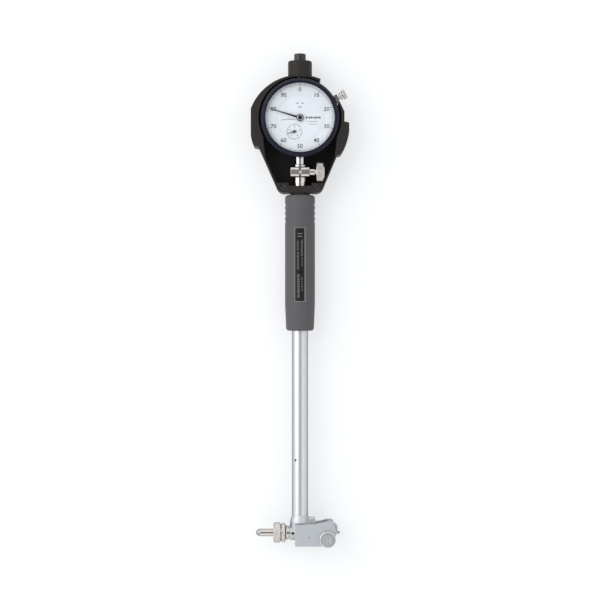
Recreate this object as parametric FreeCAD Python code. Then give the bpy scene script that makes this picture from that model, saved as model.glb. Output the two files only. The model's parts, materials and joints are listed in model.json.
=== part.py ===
import FreeCAD, Part
import math
import os

# Dial bore gauge, 50 to 150 mm, lying on its back. Millimetres.
# The pieces are drawn about the gauge point, where the measuring axis (X, contact to the right)
# crosses the axis of the stem tube (Y, up towards the dial). Z comes out of the dial.
# At the end everything moves together, so that the gauge lies on z = 0 with its length centred.

Vec = FreeCAD.Vector

# ---------------------------------------------------------------- driving dimensions
# clearances
running = 0.05            # radial clearance of a shaft or thread that turns or slides
slide_gap = 0.1           # flat faces that slide past each other
free_gap = 0.3            # pieces that must never touch

# lengths along the stem, each from where the one before it ends
head_top = 13.1           # from the measuring axis to where the tube stands on the head
grip_start = 148.5        # from the measuring axis
grip_length = 99.5
neck_length = 1.6         # between the grip and the cover
dial_rise = 54.7          # from the cover's bottom edge to the centre of the dial
lug_length = 12.2         # the cover's top lug outside the indicator's pocket
cap_stand = 5.4           # the spindle cap beyond the lug

# depth of the whole gauge behind the measuring axis
back_depth = 13.5

# stem tube, grip and what runs inside them
tube_od = 12.0
tube_wall = 1.0
vent_r = 0.85             # small hole through the tube's wall
vent_rise = 40.5          # its height over the foot of the tube
vent_turn = 33.0          # degrees left of the front
grip_od = 22.0
grip_tail_od = 20.4       # the grip narrows to this at its lower end
grip_taper = 20.0         # length of that narrowing
grip_round = 2.2
rib_rows = 4
rib_pitch = 4.1
rib_end = 7.0             # from the last finger groove to the end of the grip
rib_depth = 0.6
rib_half = 1.2            # half width of a groove
rib_runout = 5.0          # grooves fade out this far from the centre line
label_rise = 48.4         # middle of the label over the grip's foot
label_width = 8.6
label_length = 54.7
label_depth = 0.4
push_rod_r = 1.5
push_nose_r = 0.7
bush_length = 5.0
bush_low = 10.9           # lowest guide of the push rod over the tube's foot
bush_middle = 20.5        # middle guide under the grip's foot
bush_high = 12.0          # upper guide under the grip's end
spring_collar_r = 3.2
spring_collar_width = 2.0
push_spring_room = 24.0   # from the collar to the upper guide
push_spring_r = 2.5       # mean radius
push_spring_wire = 0.6
push_spring_turns = 8

# measuring head
ring_r = 5.5              # round end that carries the anvil
ring_left = -7.0
ring_right = -3.6
block_right = 17.0
block_bottom = -7.6
block_top = 6.2
block_half = 6.3          # half thickness, front to back
boss_r = 7.4
boss_low = 7.4
boss_flat = 8.6
boss_neck_y = 12.5
spigot_length = 9.0
crank_arm = 5.0           # both arms of the bell crank
crank_hub_r = 2.0
crank_half = 1.3          # half thickness
crank_arm_half = 0.45     # half width of an arm
crank_tip_r = 0.8
crank_pin_r = 1.0
contact_travel = 1.6
slot_half = 1.5
nose_length = 2.3
contact_r = 2.0
contact_collar_r = 2.7
contact_collar_width = 1.1
contact_bore_r = 2.9
contact_bush_r = 3.25
contact_bush_length = 6.0
contact_tip_r = 1.2
contact_end = 27.8
contact_taper = 2.2
ball_stand = 0.5          # centre of the ball beyond the rod's end
ball_r = 1.1

# anvil side
socket_r = 3.5
socket_right = -2.8
stud_r = 4.0
stud_left = -13.0
anvil_r = 2.8
anvil_tail = -8.5
anvil_step = -29.4
anvil_end = -32.4
anvil_tip_flat = 0.5
anvil_collar_width = 1.8
anvil_spigot_r = 1.5
anvil_spigot_length = 2.0
washer_width = 1.0
nut_left = -19.5
nut_groove = -14.0
nut_waist = -10.7
nut_right = -7.7
nut_r = 7.45
nut_small_r = 7.1
nut_neck_r = 5.1
nut_groove_r = 6.6
nut_chamfer = 0.6
set_screw_r = 1.05
set_screw_x = -5.2

# sliding centring guide
guide_left = -3.7
guide_bottom = -9.3
guide_end = ((26.4, -1.0), (25.8, 3.2), (24.7, 7.2))    # corners of the plates' right end
guide_corner = ((24.0, 8.6), (22.8, 9.1))               # round corner over them
guide_crest = (19.7, 9.1)
guide_hollow = ((15.6, 8.0), (11.0, 7.4))               # upper edge, down to the stop
guide_tail_top = 6.3      # the upper edge at the left end
guide_plate = 1.8
guide_travel = 3.0
guide_nose = 27.5
guide_nose_half = 3.2
guide_nose_low = -0.4
guide_nose_high = 6.6
guide_nose_depth = 4.1
guide_nose_chamfer = 1.6
roller_x = 20.35
roller_y = -4.0
roller_r = 6.0
roller_width = 2.4
pivot_r = 2.5
pivot_thread_r = 1.5
pivot_head_r = 3.4
pivot_slot = 0.7
stop_pin_x = 6.8
stop_pin_y = -2.6
stop_pin_r = 0.6
stop_groove_depth = 1.2
tab_left = 3.2
tab_right = 11.2
tab_bottom = 7.95
tab_top = 10.9
guide_spring_y = -5.4
guide_spring_z = 4.2
guide_spring_r = 1.05
guide_spring_wire = 0.4
guide_spring_turns = 5
guide_pocket_r = 1.5
guide_pocket_x = 8.0

# holder, cover and their block
holder_r = 6.0
holder_tail = 6.5         # how far the holder reaches into the tube
sleeve_r = 5.2
sleeve_length = 16.0
sleeve_rise = 5.0         # foot of the sleeve over the cover's bottom edge
sleeve_slit = 1.3
clamp_drop = 5.8          # axis of the clamp screw under the sleeve's end
clamp_z = 6.2
clamp_r = 3.95
clamp_half = 6.75
clamp_screw_r = 1.5
thumb_collar_r = 3.05
thumb_left = 11.8
thumb_width = 6.1
thumb_r = 7.05
thumb_chamfer = 1.2
neck_r = 7.3
cover_front = 9.0
cover_floor = 2.5
cover_wall = 1.2
cover_crown = 2.6         # the round top over the bezel
cover_shoulder = 6.7      # ends of the round top over the dial's centre, on the left
cover_side = 7.2          # the widest part beside the bezel
cover_step = 3.5          # the right side is this much narrower above its step
cover_step_drop = 2.8     # that step under the dial's centre
cover_bottom_half = 16.3
cover_bottom_rise = 1.9   # where the lower edges start, over the bottom edge
cover_corner = 4.5
left_foot_inset = 5.8     # where the wide part ends, from its side and under the dial's centre
left_foot_drop = 21.3
left_foot_ledge = 3.4
left_curve = 10.2         # height of the round side over that foot, and its sag
left_curve_sag = 0.6
right_foot_inset = 8.9
right_foot_drop = 27.3
right_foot_ledge = 2.7
right_curve = 17.5
right_curve_sag = 1.7
foot_slope = 0.7          # rise of either ledge
notch_start = 62.0        # degrees above +X: the rim is open from here down to the notch's foot
notch_foot_turn = 22.4    # where the open part ends, at the bezel
notch_toe_turn = 7.9      # and at the cover's side
pocket_gap = 1.4          # round the bezel
pocket_join = 26.0        # degrees under level, where the lower hollow meets the round pocket
lug_r = 8.8
lug_bore_r = 4.62
lug_round = 1.2
base_height = 7.2
base_front = 7.5
base_seat_half = 8.5
cover_screw_x = 12.1
cover_screw_rise = 3.9
cover_screw_r = 1.5
cover_screw_head_r = 2.5
cover_screw_head = 2.0
cover_screw_sunk = 0.6

# dial indicator
case_r = 26.0
case_wall = 1.8
case_back_z = -8.0
case_front_z = 6.6
back_plate = 1.6
back_screw_r = 1.0
back_screw_head_r = 1.9
back_screw_head = 0.8
back_screw_depth = 4.0    # its hole in the case
back_boss_r = 2.2
stem_r = 4.0
stem_seat = 0.4           # foot of the indicator's stem over the sleeve's foot
spindle_r = 2.0
point_length = 2.8        # contact point under the spindle
top_bush_r = 3.6
cap_r = 4.32
cap_length = 11.1
cap_bore = 6.0
cap_round = 0.8
cap_lift = 4.0            # room under the cap
bezel_rim = 2.8           # bezel beyond the case
bezel_back_z = 4.6
bezel_front_z = 12.7
bezel_edge_z = 10.9
bezel_slope = 1.9         # radius lost from edge to front
bezel_lip = 0.8           # the lip's edge inside the case's radius
dial_thick = 0.6
crystal_z = 10.8
crystal_thick = 1.0
split_r = 16.7            # the outer scale ring turns about the fixed dial centre
counter_x = -4.0          # small dial, from the dial's centre
counter_y = -10.0
pointer_margin = 2.4      # tip of the pointer inside the dial's edge
pointer_turn = 163.0      # degrees from +X at rest
pointer_z = 8.6
pointer_thick = 0.3
pointer_hub_r = 2.6
pointer_boss_r = 1.6
pointer_boss = 1.0
counter_length = 5.4
counter_turn = 196.0
counter_z = 7.8
counter_thick = 0.25

# movement
pinion_teeth = 10
wheel_teeth = 100
take_up_teeth = 60
rack_pinion_teeth = 16
rack_pitch = 0.625        # sixteen teeth for ten millimetres
rack_teeth = 22
rack_half = 1.0
plate_z = 2.4
plate_thick = 1.0
bridge_z = 5.8
bridge_thick = 0.6
bridge_pad_r = 2.2
bridge_arm_half = 1.6
wheel_z = 4.2
wheel_thick = 0.7
window_r = 2.2
window_reach = 5.6
centre_pinion_z = 3.8
centre_pinion_thick = 1.6
arbor_r = 0.6
cock_z = -3.6
cock_thick = 1.0
cock_half = 2.2
cock_reach = 5.5
cock_post = 2.3
pillar_r = 1.3
pillar_places = ((10.0, 6.5), (-11.0, 5.5), (10.5, -13.5))
dial_foot_r = 0.8
take_up_turn = 70.0       # degrees from +X, from the centre pinion to the take-up wheel
hairspring_z = 5.05
hairspring_height = 0.45
hairspring_strip = 0.14
hairspring_inner = 1.15
hairspring_outer = 4.3
hairspring_turns = 4
collet_r = 1.1
stud_pin_r = 0.4
guide_pin_r = 0.6         # keeps the spindle from turning
guide_pin_rise = 8.0      # over the dial's centre
guide_pin_end = 5.6
guide_slot_length = 12.4
guide_rail = 1.2          # width of the guide beside its slot
guide_rail_left = 2.6

# bezel clamp
clamp_turn = 28.0         # degrees above +X
bracket_half = 2.6
bracket_stand = 2.8       # outside of its upright, beyond the bezel
bracket_drop = 1.0        # top of its upright under the bezel's edge
bracket_foot_z = -3.0
bezel_screw_r = 1.3
bezel_neck_r = 2.0
bezel_neck = 0.8
bezel_head_gap = 1.8
bezel_head_length = 4.4
bezel_head_r = 3.5

# ---------------------------------------------------------------- derived places
grip_end = grip_start + grip_length
neck_top = grip_end + neck_length
dial_y = neck_top + dial_rise
tube_r = tube_od / 2
tube_bore = tube_r - tube_wall
tube_end = grip_end - 1.0
grip_r = grip_od / 2
vent_y = head_top + vent_rise
rib_first = grip_end - rib_end - rib_rows * rib_pitch + rib_pitch
label_y = grip_start + label_rise
bush_starts = (head_top + bush_low, grip_start - bush_middle, grip_end - bush_high)
push_rod_top = neck_top + slide_gap

crank_x = crank_arm
crank_y = crank_arm
touch_gap = running
nose_start = crank_x + crank_tip_r + touch_gap
push_nose_start = crank_y + crank_tip_r + touch_gap
contact_bush_left = block_right - contact_bush_length
ball_x = contact_end + ball_stand
anvil_collar_right = stud_left - washer_width
anvil_collar_left = anvil_collar_right - anvil_collar_width
guide_inner = block_half + slide_gap
guide_half = guide_inner + guide_plate
guide_block_left = block_right + guide_travel + 2 * slide_gap
roller_z = guide_half + free_gap
pivot_head_z = roller_z + roller_width + free_gap

bezel_r = case_r + bezel_rim
bezel_top_r = bezel_r - bezel_slope
bezel_lip_r = case_r - bezel_lip
dial_r = case_r - 0.4
dial_low = case_front_z + slide_gap
crystal_r = case_r + 0.2
pointer_length = dial_r - pointer_margin
back_screw_ring = case_r - case_wall - 1.8

floor_z = cover_floor - back_depth
pocket_r = bezel_r + pocket_gap
crown_rise = bezel_r + cover_crown
cover_half = bezel_r + cover_side
cover_right = cover_half - cover_step
bow_height = crown_rise - cover_shoulder
cover_bow_r = (bow_height**2 + cover_half**2) / (2 * bow_height)
cover_bow_y = dial_y + crown_rise - cover_bow_r
cover_step_y = dial_y - cover_step_drop
cover_bottom_y = neck_top + cover_bottom_rise
cover_left_foot = (left_foot_inset - cover_half, dial_y - left_foot_drop)
cover_right_foot = (cover_half - right_foot_inset, dial_y - right_foot_drop)
cover_slope = (-cover_left_foot[0] - cover_bottom_half) / (cover_left_foot[1] - cover_bottom_y)
lug_top = dial_y + pocket_r + lug_length
base_top = neck_top + base_height
cover_screw_y = neck_top + cover_screw_rise
cover_screw_head_z = base_front - cover_screw_head - cover_screw_sunk

holder_bottom = grip_end - holder_tail
sleeve_start = neck_top + sleeve_rise
sleeve_top = sleeve_start + sleeve_length
clamp_y = sleeve_top - clamp_drop
thumb_right = thumb_left + thumb_width
stem_end = sleeve_start + stem_seat
spindle_end = push_rod_top + point_length
cap_top = lug_top + cap_stand
cap_start = cap_top - cap_length
spindle_top = cap_start + cap_bore
top_bush_end = cap_start - cap_lift

gear_distance = math.hypot(counter_x, counter_y)
gear_module = 2 * gear_distance / (wheel_teeth + pinion_teeth)
rack_pinion_pitch_r = rack_pitch * rack_pinion_teeth / (2 * math.pi)
rack_line = counter_x + rack_pinion_pitch_r
counter_axis = (counter_x, dial_y + counter_y)
gear_line_turn = math.degrees(math.atan2(-counter_y, -counter_x))
take_up_distance = gear_module * (take_up_teeth + pinion_teeth) / 2
take_up_axis = (
    take_up_distance * math.cos(math.radians(take_up_turn)),
    dial_y + take_up_distance * math.sin(math.radians(take_up_turn)),
)
arbor_places = ((0, dial_y), counter_axis, take_up_axis)
half_turn = math.degrees(math.pi)
bridge_top = bridge_z + bridge_thick
guide_pin_y = dial_y + guide_pin_rise

bracket_reach = bezel_r + bracket_stand
bracket_low = bezel_back_z - free_gap
bracket_top = bezel_edge_z - bracket_drop
bezel_screw_z = (bezel_back_z + bracket_top) / 2
bezel_head_start = bracket_reach + bezel_head_gap

lowest_y = roller_y - roller_r
middle_y = (cap_top + lowest_y) / 2
to_rest = Vec(0, -middle_y, back_depth)


# ---------------------------------------------------------------- shape helpers
def rod_x(radius, x0, x1, y=0.0, z=0.0):
    return Part.makeCylinder(radius, x1 - x0, Vec(x0, y, z), Vec(1, 0, 0))


def rod_y(radius, y0, y1, x=0.0, z=0.0):
    return Part.makeCylinder(radius, y1 - y0, Vec(x, y0, z), Vec(0, 1, 0))


def rod_z(radius, z0, z1, x=0.0, y=0.0):
    return Part.makeCylinder(radius, z1 - z0, Vec(x, y, z0), Vec(0, 0, 1))


def block(x0, x1, y0, y1, z0, z1):
    return Part.makeBox(x1 - x0, y1 - y0, z1 - z0, Vec(x0, y0, z0))


def path_wire(start, steps):
    """Closed wire from start through steps: a point is a line, a pair of points an arc."""
    edges = []
    here = Vec(*start)
    for step in steps:
        if isinstance(step[0], (tuple, list)):
            through = Vec(*step[0])
            there = Vec(*step[1])
            edges.append(Part.Arc(here, through, there).toShape())
        else:
            there = Vec(*step)
            edges.append(Part.LineSegment(here, there).toShape())
        here = there
    first = Vec(*start)
    if here.distanceToPoint(first) > 1e-6:
        edges.append(Part.LineSegment(here, first).toShape())
    return Part.Wire(edges)


def turned(profile, axis="y", centre=(0.0, 0.0)):
    """Solid of revolution. profile lists (place, radius) along the axis; the axis closes it."""
    points = [(profile[0][0], 0.0)] + list(profile) + [(profile[-1][0], 0.0)]
    if axis == "x":
        corners = [Vec(s, r, 0) for s, r in points]
        direction = Vec(1, 0, 0)
        shift = Vec(0, centre[0], centre[1])
    elif axis == "y":
        corners = [Vec(r, s, 0) for s, r in points]
        direction = Vec(0, 1, 0)
        shift = Vec(centre[0], 0, centre[1])
    else:
        corners = [Vec(r, 0, s) for s, r in points]
        direction = Vec(0, 0, 1)
        shift = Vec(centre[0], centre[1], 0)
    wire = Part.makePolygon(corners + [corners[0]])
    solid = Part.Face(wire).revolve(Vec(0, 0, 0), direction, 360)
    solid.translate(shift)
    return solid


def slab(wire, z0, z1):
    face = Part.Face(wire)
    face.translate(Vec(0, 0, z0))
    return face.extrude(Vec(0, 0, z1 - z0))


def prism(points, z0, z1):
    corners = [Vec(x, y, 0) for x, y in points]
    return slab(Part.makePolygon(corners + [corners[0]]), z0, z1)


def turn_z(shape, degrees, x=0.0, y=0.0):
    shape.rotate(Vec(x, y, 0), Vec(0, 0, 1), degrees)
    return shape


def ring_edges(shape, axis, place, radius):
    """Round edges of one radius that lie at one place along an axis."""
    found = []
    for edge in shape.Edges:
        curve = edge.Curve
        if not isinstance(curve, Part.Circle) or abs(curve.Radius - radius) > 1e-3:
            continue
        if abs(getattr(curve.Center, axis) - place) < 1e-3:
            found.append(edge)
    return found


def coil(mean_r, wire, start, length, turns, axis="y"):
    """Helical spring of square wire along an axis, with its ends at start and start + length."""
    helix = Part.makeHelix((length - wire) / turns, length - wire, mean_r)
    half = wire / 2
    corners = [
        Vec(mean_r - half, 0, -half),
        Vec(mean_r + half, 0, -half),
        Vec(mean_r + half, 0, half),
        Vec(mean_r - half, 0, half),
    ]
    section = Part.makePolygon(corners + [corners[0]])
    spring = Part.Wire(helix.Edges).makePipeShell([section], True, True)
    spring.translate(Vec(0, 0, half))
    if axis == "y":
        spring.rotate(Vec(0, 0, 0), Vec(1, 0, 0), -90)
    else:
        spring.rotate(Vec(0, 0, 0), Vec(0, 1, 0), 90)
    spring.translate(Vec(*start))
    return spring


def toothed(teeth, module, z0, z1, x, y, first_turn):
    """Spur gear with straight-sided teeth, the middle of its first tooth at first_turn degrees."""
    pitch_r = module * teeth / 2
    tip_r = pitch_r + 0.85 * module
    root_r = pitch_r - 1.2 * module
    step = 2 * math.pi / teeth
    points = []
    for tooth in range(teeth):
        middle = math.radians(first_turn) + tooth * step
        for radius, share in ((root_r, -0.30), (tip_r, -0.11), (tip_r, 0.11), (root_r, 0.30)):
            angle = middle + share * step
            points.append((x + radius * math.cos(angle), y + radius * math.sin(angle)))
    return prism(points, z0, z1)


def capsule(x0, y0, x1, y1, half, z0, z1):
    """Straight bar with round ends, between two centres."""
    angle = math.degrees(math.atan2(y1 - y0, x1 - x0))
    length = math.hypot(x1 - x0, y1 - y0)
    bar = block(0, length, -half, half, z0, z1)
    bar = bar.fuse(rod_z(half, z0, z1)).fuse(rod_z(half, z0, z1, length))
    bar.rotate(Vec(0, 0, 0), Vec(0, 0, 1), angle)
    bar.translate(Vec(x0, y0, 0))
    return bar


# ---------------------------------------------------------------- measuring head
def head_boss():
    return turned(
        [
            (boss_low, boss_r),
            (boss_flat, boss_r),
            (boss_neck_y, tube_r),
            (head_top, tube_r),
            (head_top, tube_bore),
            (head_top + spigot_length, tube_bore),
        ]
    )


def crank_slot():
    room = crank_hub_r + free_gap
    slot = block(-slot_half, crank_x + crank_hub_r + 1.0, block_bottom, crank_y + room, -slot_half, slot_half)
    tip_room = block(-slot_half, slot_half, crank_y, boss_low + 1.0, -slot_half, slot_half)
    return slot.fuse(tip_room)


def make_head_body():
    low_boss = rod_y(boss_r, 1.0, boss_low).common(
        block(-boss_r, boss_r, 0, boss_low, -block_half, block_half)
    )
    body = block(ring_right, block_right, block_bottom, block_top, -block_half, block_half)
    body = body.fuse([rod_x(ring_r, ring_left, ring_right), low_boss, head_boss()])
    cuts = [
        crank_slot(),
        rod_y(push_rod_r + 0.2, crank_y, head_top + spigot_length),
        rod_x(contact_bore_r, crank_x - crank_tip_r - contact_travel, contact_bush_left),
        rod_x(contact_bush_r, contact_bush_left, block_right),
        rod_x(socket_r, ring_left, socket_right),
        rod_x(stud_r, -boss_r, ring_left),
        rod_z(crank_pin_r, -block_half, block_half, crank_x, crank_y),
        rod_z(set_screw_r, socket_r - 1.0, ring_r + 1.0, set_screw_x),
        block(
            stop_pin_x - guide_travel - stop_pin_r - slide_gap,
            stop_pin_x + stop_pin_r + slide_gap,
            stop_pin_y - stop_pin_r - slide_gap,
            stop_pin_y + stop_pin_r + slide_gap,
            block_half - stop_groove_depth,
            block_half,
        ),
    ]
    for side in (-1, 1):
        cuts.append(rod_x(guide_pocket_r, guide_pocket_x, block_right, guide_spring_y, side * guide_spring_z))
    return body.cut(cuts)


def make_guide_stop():
    lug = block(tab_left, tab_right, tab_bottom, tab_top, -boss_r, boss_r)
    foot = block(tab_left, tab_right, block_top, tab_bottom, slide_gap - block_half, block_half - slide_gap)
    low_boss = rod_y(boss_r, 1.0, boss_low)
    return lug.fuse(foot).cut([head_boss(), low_boss, crank_slot()])


def make_crank_pin():
    return rod_z(crank_pin_r, -block_half + slide_gap, block_half - slide_gap, crank_x, crank_y)


def make_bell_crank():
    hub = rod_z(crank_hub_r, -crank_half, crank_half, crank_x, crank_y)
    down = block(crank_x - crank_arm_half, crank_x + crank_arm_half, 0, crank_y, -crank_half, crank_half)
    across = block(0, crank_x, crank_y - crank_arm_half, crank_y + crank_arm_half, -crank_half, crank_half)
    low_tip = rod_z(crank_tip_r, -crank_half, crank_half, crank_x, 0)
    side_tip = rod_z(crank_tip_r, -crank_half, crank_half, 0, crank_y)
    crank = hub.fuse([down, across, low_tip, side_tip])
    return crank.cut(rod_z(crank_pin_r + running, -crank_half, crank_half, crank_x, crank_y))


def make_contact_rod():
    collar_right = contact_bush_left - touch_gap
    rod = turned(
        [
            (nose_start, push_nose_r),
            (nose_start + nose_length, push_nose_r),
            (nose_start + nose_length, contact_r),
            (collar_right - contact_collar_width, contact_r),
            (collar_right - contact_collar_width, contact_collar_r),
            (collar_right, contact_collar_r),
            (collar_right, contact_r),
            (contact_end - contact_taper, contact_r),
            (contact_end, contact_tip_r),
        ],
        "x",
    )
    return rod.cut(Part.makeSphere(ball_r, Vec(ball_x, 0, 0)))


def make_contact_bush():
    bush = rod_x(contact_bush_r, contact_bush_left, block_right)
    return bush.cut(rod_x(contact_r + running, contact_bush_left, block_right))


# ---------------------------------------------------------------- anvil side
def make_anvil_socket():
    socket = turned(
        [(stud_left, stud_r), (ring_left, stud_r), (ring_left, socket_r), (socket_right, socket_r)], "x"
    )
    return socket.cut(rod_x(anvil_r + running, stud_left, anvil_tail + 0.5))


def make_set_screw():
    screw = rod_z(set_screw_r, socket_r, ring_r - 0.5, set_screw_x)
    return screw.cut(rod_z(0.5, ring_r - 1.3, ring_r - 0.5, set_screw_x))


def make_spacing_washer():
    washer = rod_x(stud_r, anvil_collar_right, stud_left)
    return washer.cut(rod_x(anvil_r + running, anvil_collar_right, stud_left))


def make_anvil():
    anvil = turned(
        [
            (anvil_step, anvil_r),
            (anvil_collar_left, anvil_r),
            (anvil_collar_left, stud_r),
            (anvil_collar_right, stud_r),
            (anvil_collar_right, anvil_r),
            (anvil_tail, anvil_r),
        ],
        "x",
    )
    return anvil.cut(rod_x(anvil_spigot_r, anvil_step, anvil_step + anvil_spigot_length))


def make_anvil_tip():
    """Bullet-shaped hard tip with a spigot in the anvil."""
    mid_x = anvil_step + 0.6 * (anvil_end - anvil_step)
    wire = path_wire(
        (anvil_end, 0, 0),
        [
            (anvil_end, anvil_tip_flat, 0),
            ((mid_x, 0.76 * anvil_r, 0), (anvil_step, anvil_r, 0)),
            (anvil_step, anvil_spigot_r, 0),
            (anvil_step + anvil_spigot_length, anvil_spigot_r, 0),
            (anvil_step + anvil_spigot_length, 0, 0),
        ],
    )
    return Part.Face(wire).revolve(Vec(0, 0, 0), Vec(1, 0, 0), 360)


def make_anvil_lock_nut():
    nut = turned(
        [
            (nut_left, nut_r - nut_chamfer),
            (nut_left + nut_chamfer, nut_r),
            (nut_groove - 0.8, nut_r),
            (nut_groove - 0.3, nut_groove_r),
            (nut_groove + 0.2, nut_groove_r),
            (nut_groove + 0.6, nut_small_r),
            (nut_waist - 0.6, nut_small_r),
            (nut_waist + 0.7, nut_neck_r),
            (nut_right, nut_neck_r),
        ],
        "x",
    )
    thread_left = anvil_collar_left - slide_gap
    bore = rod_x(stud_r + running, thread_left, nut_right)
    return nut.cut(bore.fuse(rod_x(anvil_r + running, nut_left, thread_left)))


# ---------------------------------------------------------------- sliding guide
def guide_outline():
    low_r = roller_y - guide_bottom
    diagonal = low_r * math.sqrt(0.5)
    return path_wire(
        (guide_left, guide_bottom, 0),
        [
            (roller_x, guide_bottom, 0),
            ((roller_x + diagonal, roller_y - diagonal, 0), (roller_x + low_r, roller_y, 0)),
            *[(x, y, 0) for x, y in guide_end],
            [(x, y, 0) for x, y in guide_corner],
            (*guide_crest, 0),
            [(x, y, 0) for x, y in guide_hollow],
            (guide_left, guide_tail_top, 0),
        ],
    )


def make_guide_shoe():
    shoe = slab(guide_outline(), -guide_half, guide_half)
    nose_left = guide_nose - guide_nose_depth
    nose = block(nose_left, guide_nose, guide_nose_low, guide_nose_high, -guide_nose_half, guide_nose_half)
    corner = [
        edge
        for edge in nose.Edges
        if edge.CenterOfMass.distanceToPoint(Vec(guide_nose, guide_nose_high, 0)) < 1e-6
    ]
    nose = nose.makeChamfer(guide_nose_chamfer, corner)
    channel = block(
        guide_left - 1, guide_block_left, block_bottom - slide_gap, tab_top, -guide_inner, guide_inner
    )
    cuts = [
        channel,
        rod_x(contact_r + 0.5, guide_block_left, guide_nose),
        rod_z(stop_pin_r, guide_inner, guide_half, stop_pin_x, stop_pin_y),
    ]
    for side in (-1, 1):
        low = min(side * guide_inner, side * guide_half)
        cuts.append(rod_z(pivot_thread_r, low, low + guide_plate, roller_x, roller_y))
    return shoe.fuse(nose).cut(cuts)


def make_guide_stop_pin():
    bottom = block_half - stop_groove_depth + slide_gap
    return rod_z(stop_pin_r, bottom, guide_half, stop_pin_x, stop_pin_y)


def make_guide_springs():
    springs = [
        coil(
            guide_spring_r,
            guide_spring_wire,
            (guide_pocket_x, guide_spring_y, side * guide_spring_z),
            guide_block_left - guide_pocket_x,
            guide_spring_turns,
            "x",
        )
        for side in (-1, 1)
    ]
    return Part.makeCompound(springs)


def make_roller(side):
    roller = turned(
        [
            (roller_z, roller_r - 0.4),
            (roller_z + 0.4, roller_r),
            (roller_z + roller_width - 0.4, roller_r),
            (roller_z + roller_width, roller_r - 0.4),
        ],
        "z",
        (roller_x, roller_y),
    )
    roller = roller.cut(rod_z(pivot_r + running, roller_z, roller_z + roller_width, roller_x, roller_y))
    return roller if side > 0 else roller.mirror(Vec(0, 0, 0), Vec(0, 0, 1))


def make_roller_pivot(side):
    """Shoulder screw: thread in the guide's plate, shank under the roller, crossed slot in the head."""
    screw = turned(
        [
            (guide_inner, pivot_thread_r),
            (guide_half, pivot_thread_r),
            (guide_half, pivot_r),
            (pivot_head_z, pivot_r),
            (pivot_head_z, pivot_head_r),
            (back_depth, pivot_head_r),
        ],
        "z",
        (roller_x, roller_y),
    )
    reach = pivot_head_r - 1.0
    half = pivot_slot / 2
    for angle in (0, 90):
        cutter = block(-reach, reach, -half, half, back_depth - 0.9, back_depth)
        cutter.rotate(Vec(0, 0, 0), Vec(0, 0, 1), 45 + angle)
        cutter.translate(Vec(roller_x, roller_y, 0))
        screw = screw.cut(cutter)
    return screw if side > 0 else screw.mirror(Vec(0, 0, 0), Vec(0, 0, 1))


# ---------------------------------------------------------------- stem
def make_tube():
    tube = rod_y(tube_r, head_top, tube_end).cut(rod_y(tube_bore, head_top, tube_end))
    vent = rod_z(vent_r, 0, tube_r + 1.0, 0, vent_y)
    vent.rotate(Vec(0, 0, 0), Vec(0, 1, 0), -vent_turn)
    return tube.cut(vent)


def make_push_rod():
    collar_top = bush_starts[-1] - push_spring_room
    collar_low = collar_top - spring_collar_width
    return turned(
        [
            (push_nose_start, push_nose_r),
            (push_nose_start + nose_length, push_nose_r),
            (push_nose_start + nose_length, push_rod_r),
            (collar_low, push_rod_r),
            (collar_low, spring_collar_r),
            (collar_top, spring_collar_r),
            (collar_top, push_rod_r),
            (push_rod_top, push_rod_r),
        ]
    )


def make_push_rod_guides():
    bushes = []
    for start in bush_starts:
        bush = rod_y(tube_bore, start, start + bush_length)
        bushes.append(bush.cut(rod_y(push_rod_r + running, start, start + bush_length)))
    return Part.makeCompound(bushes)


def make_push_rod_spring():
    start = bush_starts[-1] - push_spring_room
    return coil(push_spring_r, push_spring_wire, (0, start, 0), push_spring_room, push_spring_turns)


def label_arc(inner, outer, grow):
    """Curved strip of the grip's front face, for the label and its seat."""
    half = label_width / 2 + grow
    low = label_y - label_length / 2 - grow
    high = label_y + label_length / 2 + grow
    strip = rod_y(outer, low, high).cut(rod_y(inner, low, high))
    return strip.common(block(-half, half, low, high, 0, outer))


def make_grip():
    grip = turned(
        [
            (grip_start, grip_tail_od / 2),
            (grip_start + grip_taper, grip_r),
            (grip_end, grip_r),
        ]
    )
    rims = ring_edges(grip, "y", grip_start, grip_tail_od / 2) + ring_edges(grip, "y", grip_end, grip_r)
    grip = grip.makeFillet(grip_round, rims)
    cuts = [rod_y(tube_r, grip_start, grip_end), label_arc(grip_r - label_depth, grip_r + 1, 0.0)]
    # each finger groove is a ring set off to the far side, so that it fades out towards the front
    deep = grip_r - rib_depth
    front = math.sqrt(grip_r**2 - rib_runout**2)
    offset = (rib_runout**2 + front**2 - deep**2) / (2 * (deep - rib_runout))
    groove_r = deep + offset
    for rib in range(rib_rows):
        y = rib_first + rib * rib_pitch
        for side in (-1, 1):
            ring = turned([(y - rib_half, grip_r + 3), (y + rib_half, grip_r + 3)])
            core = turned([(y - rib_half, groove_r + 0.7), (y, groove_r), (y + rib_half, groove_r + 0.7)])
            groove = ring.cut(core)
            groove.translate(Vec(-side * offset, 0, 0))
            cuts.append(groove)
    return grip.cut(cuts)


def make_label_plate():
    return label_arc(grip_r - label_depth, grip_r + 0.05, -0.1)


# ---------------------------------------------------------------- holder and cover
def make_indicator_holder():
    holder = turned(
        [
            (holder_bottom, tube_bore),
            (tube_end, tube_bore),
            (tube_end, holder_r),
            (sleeve_start - 1.0, holder_r),
            (sleeve_start, sleeve_r),
            (sleeve_top - 0.5, sleeve_r),
            (sleeve_top, sleeve_r - 0.5),
        ]
    )
    holder = holder.fuse(rod_x(clamp_r, -clamp_half, clamp_half, clamp_y, clamp_z))
    half = sleeve_slit / 2
    return holder.cut(
        [
            rod_y(push_rod_r + 0.2, holder_bottom, grip_end),
            rod_y(spindle_r + 0.2, grip_end, sleeve_start),
            rod_y(stem_r, sleeve_start, sleeve_top),
            rod_x(clamp_screw_r + running, -clamp_half, clamp_half, clamp_y, clamp_z),
            block(-half, half, sleeve_start, sleeve_top, 0, clamp_z + clamp_r),
        ]
    )


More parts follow.
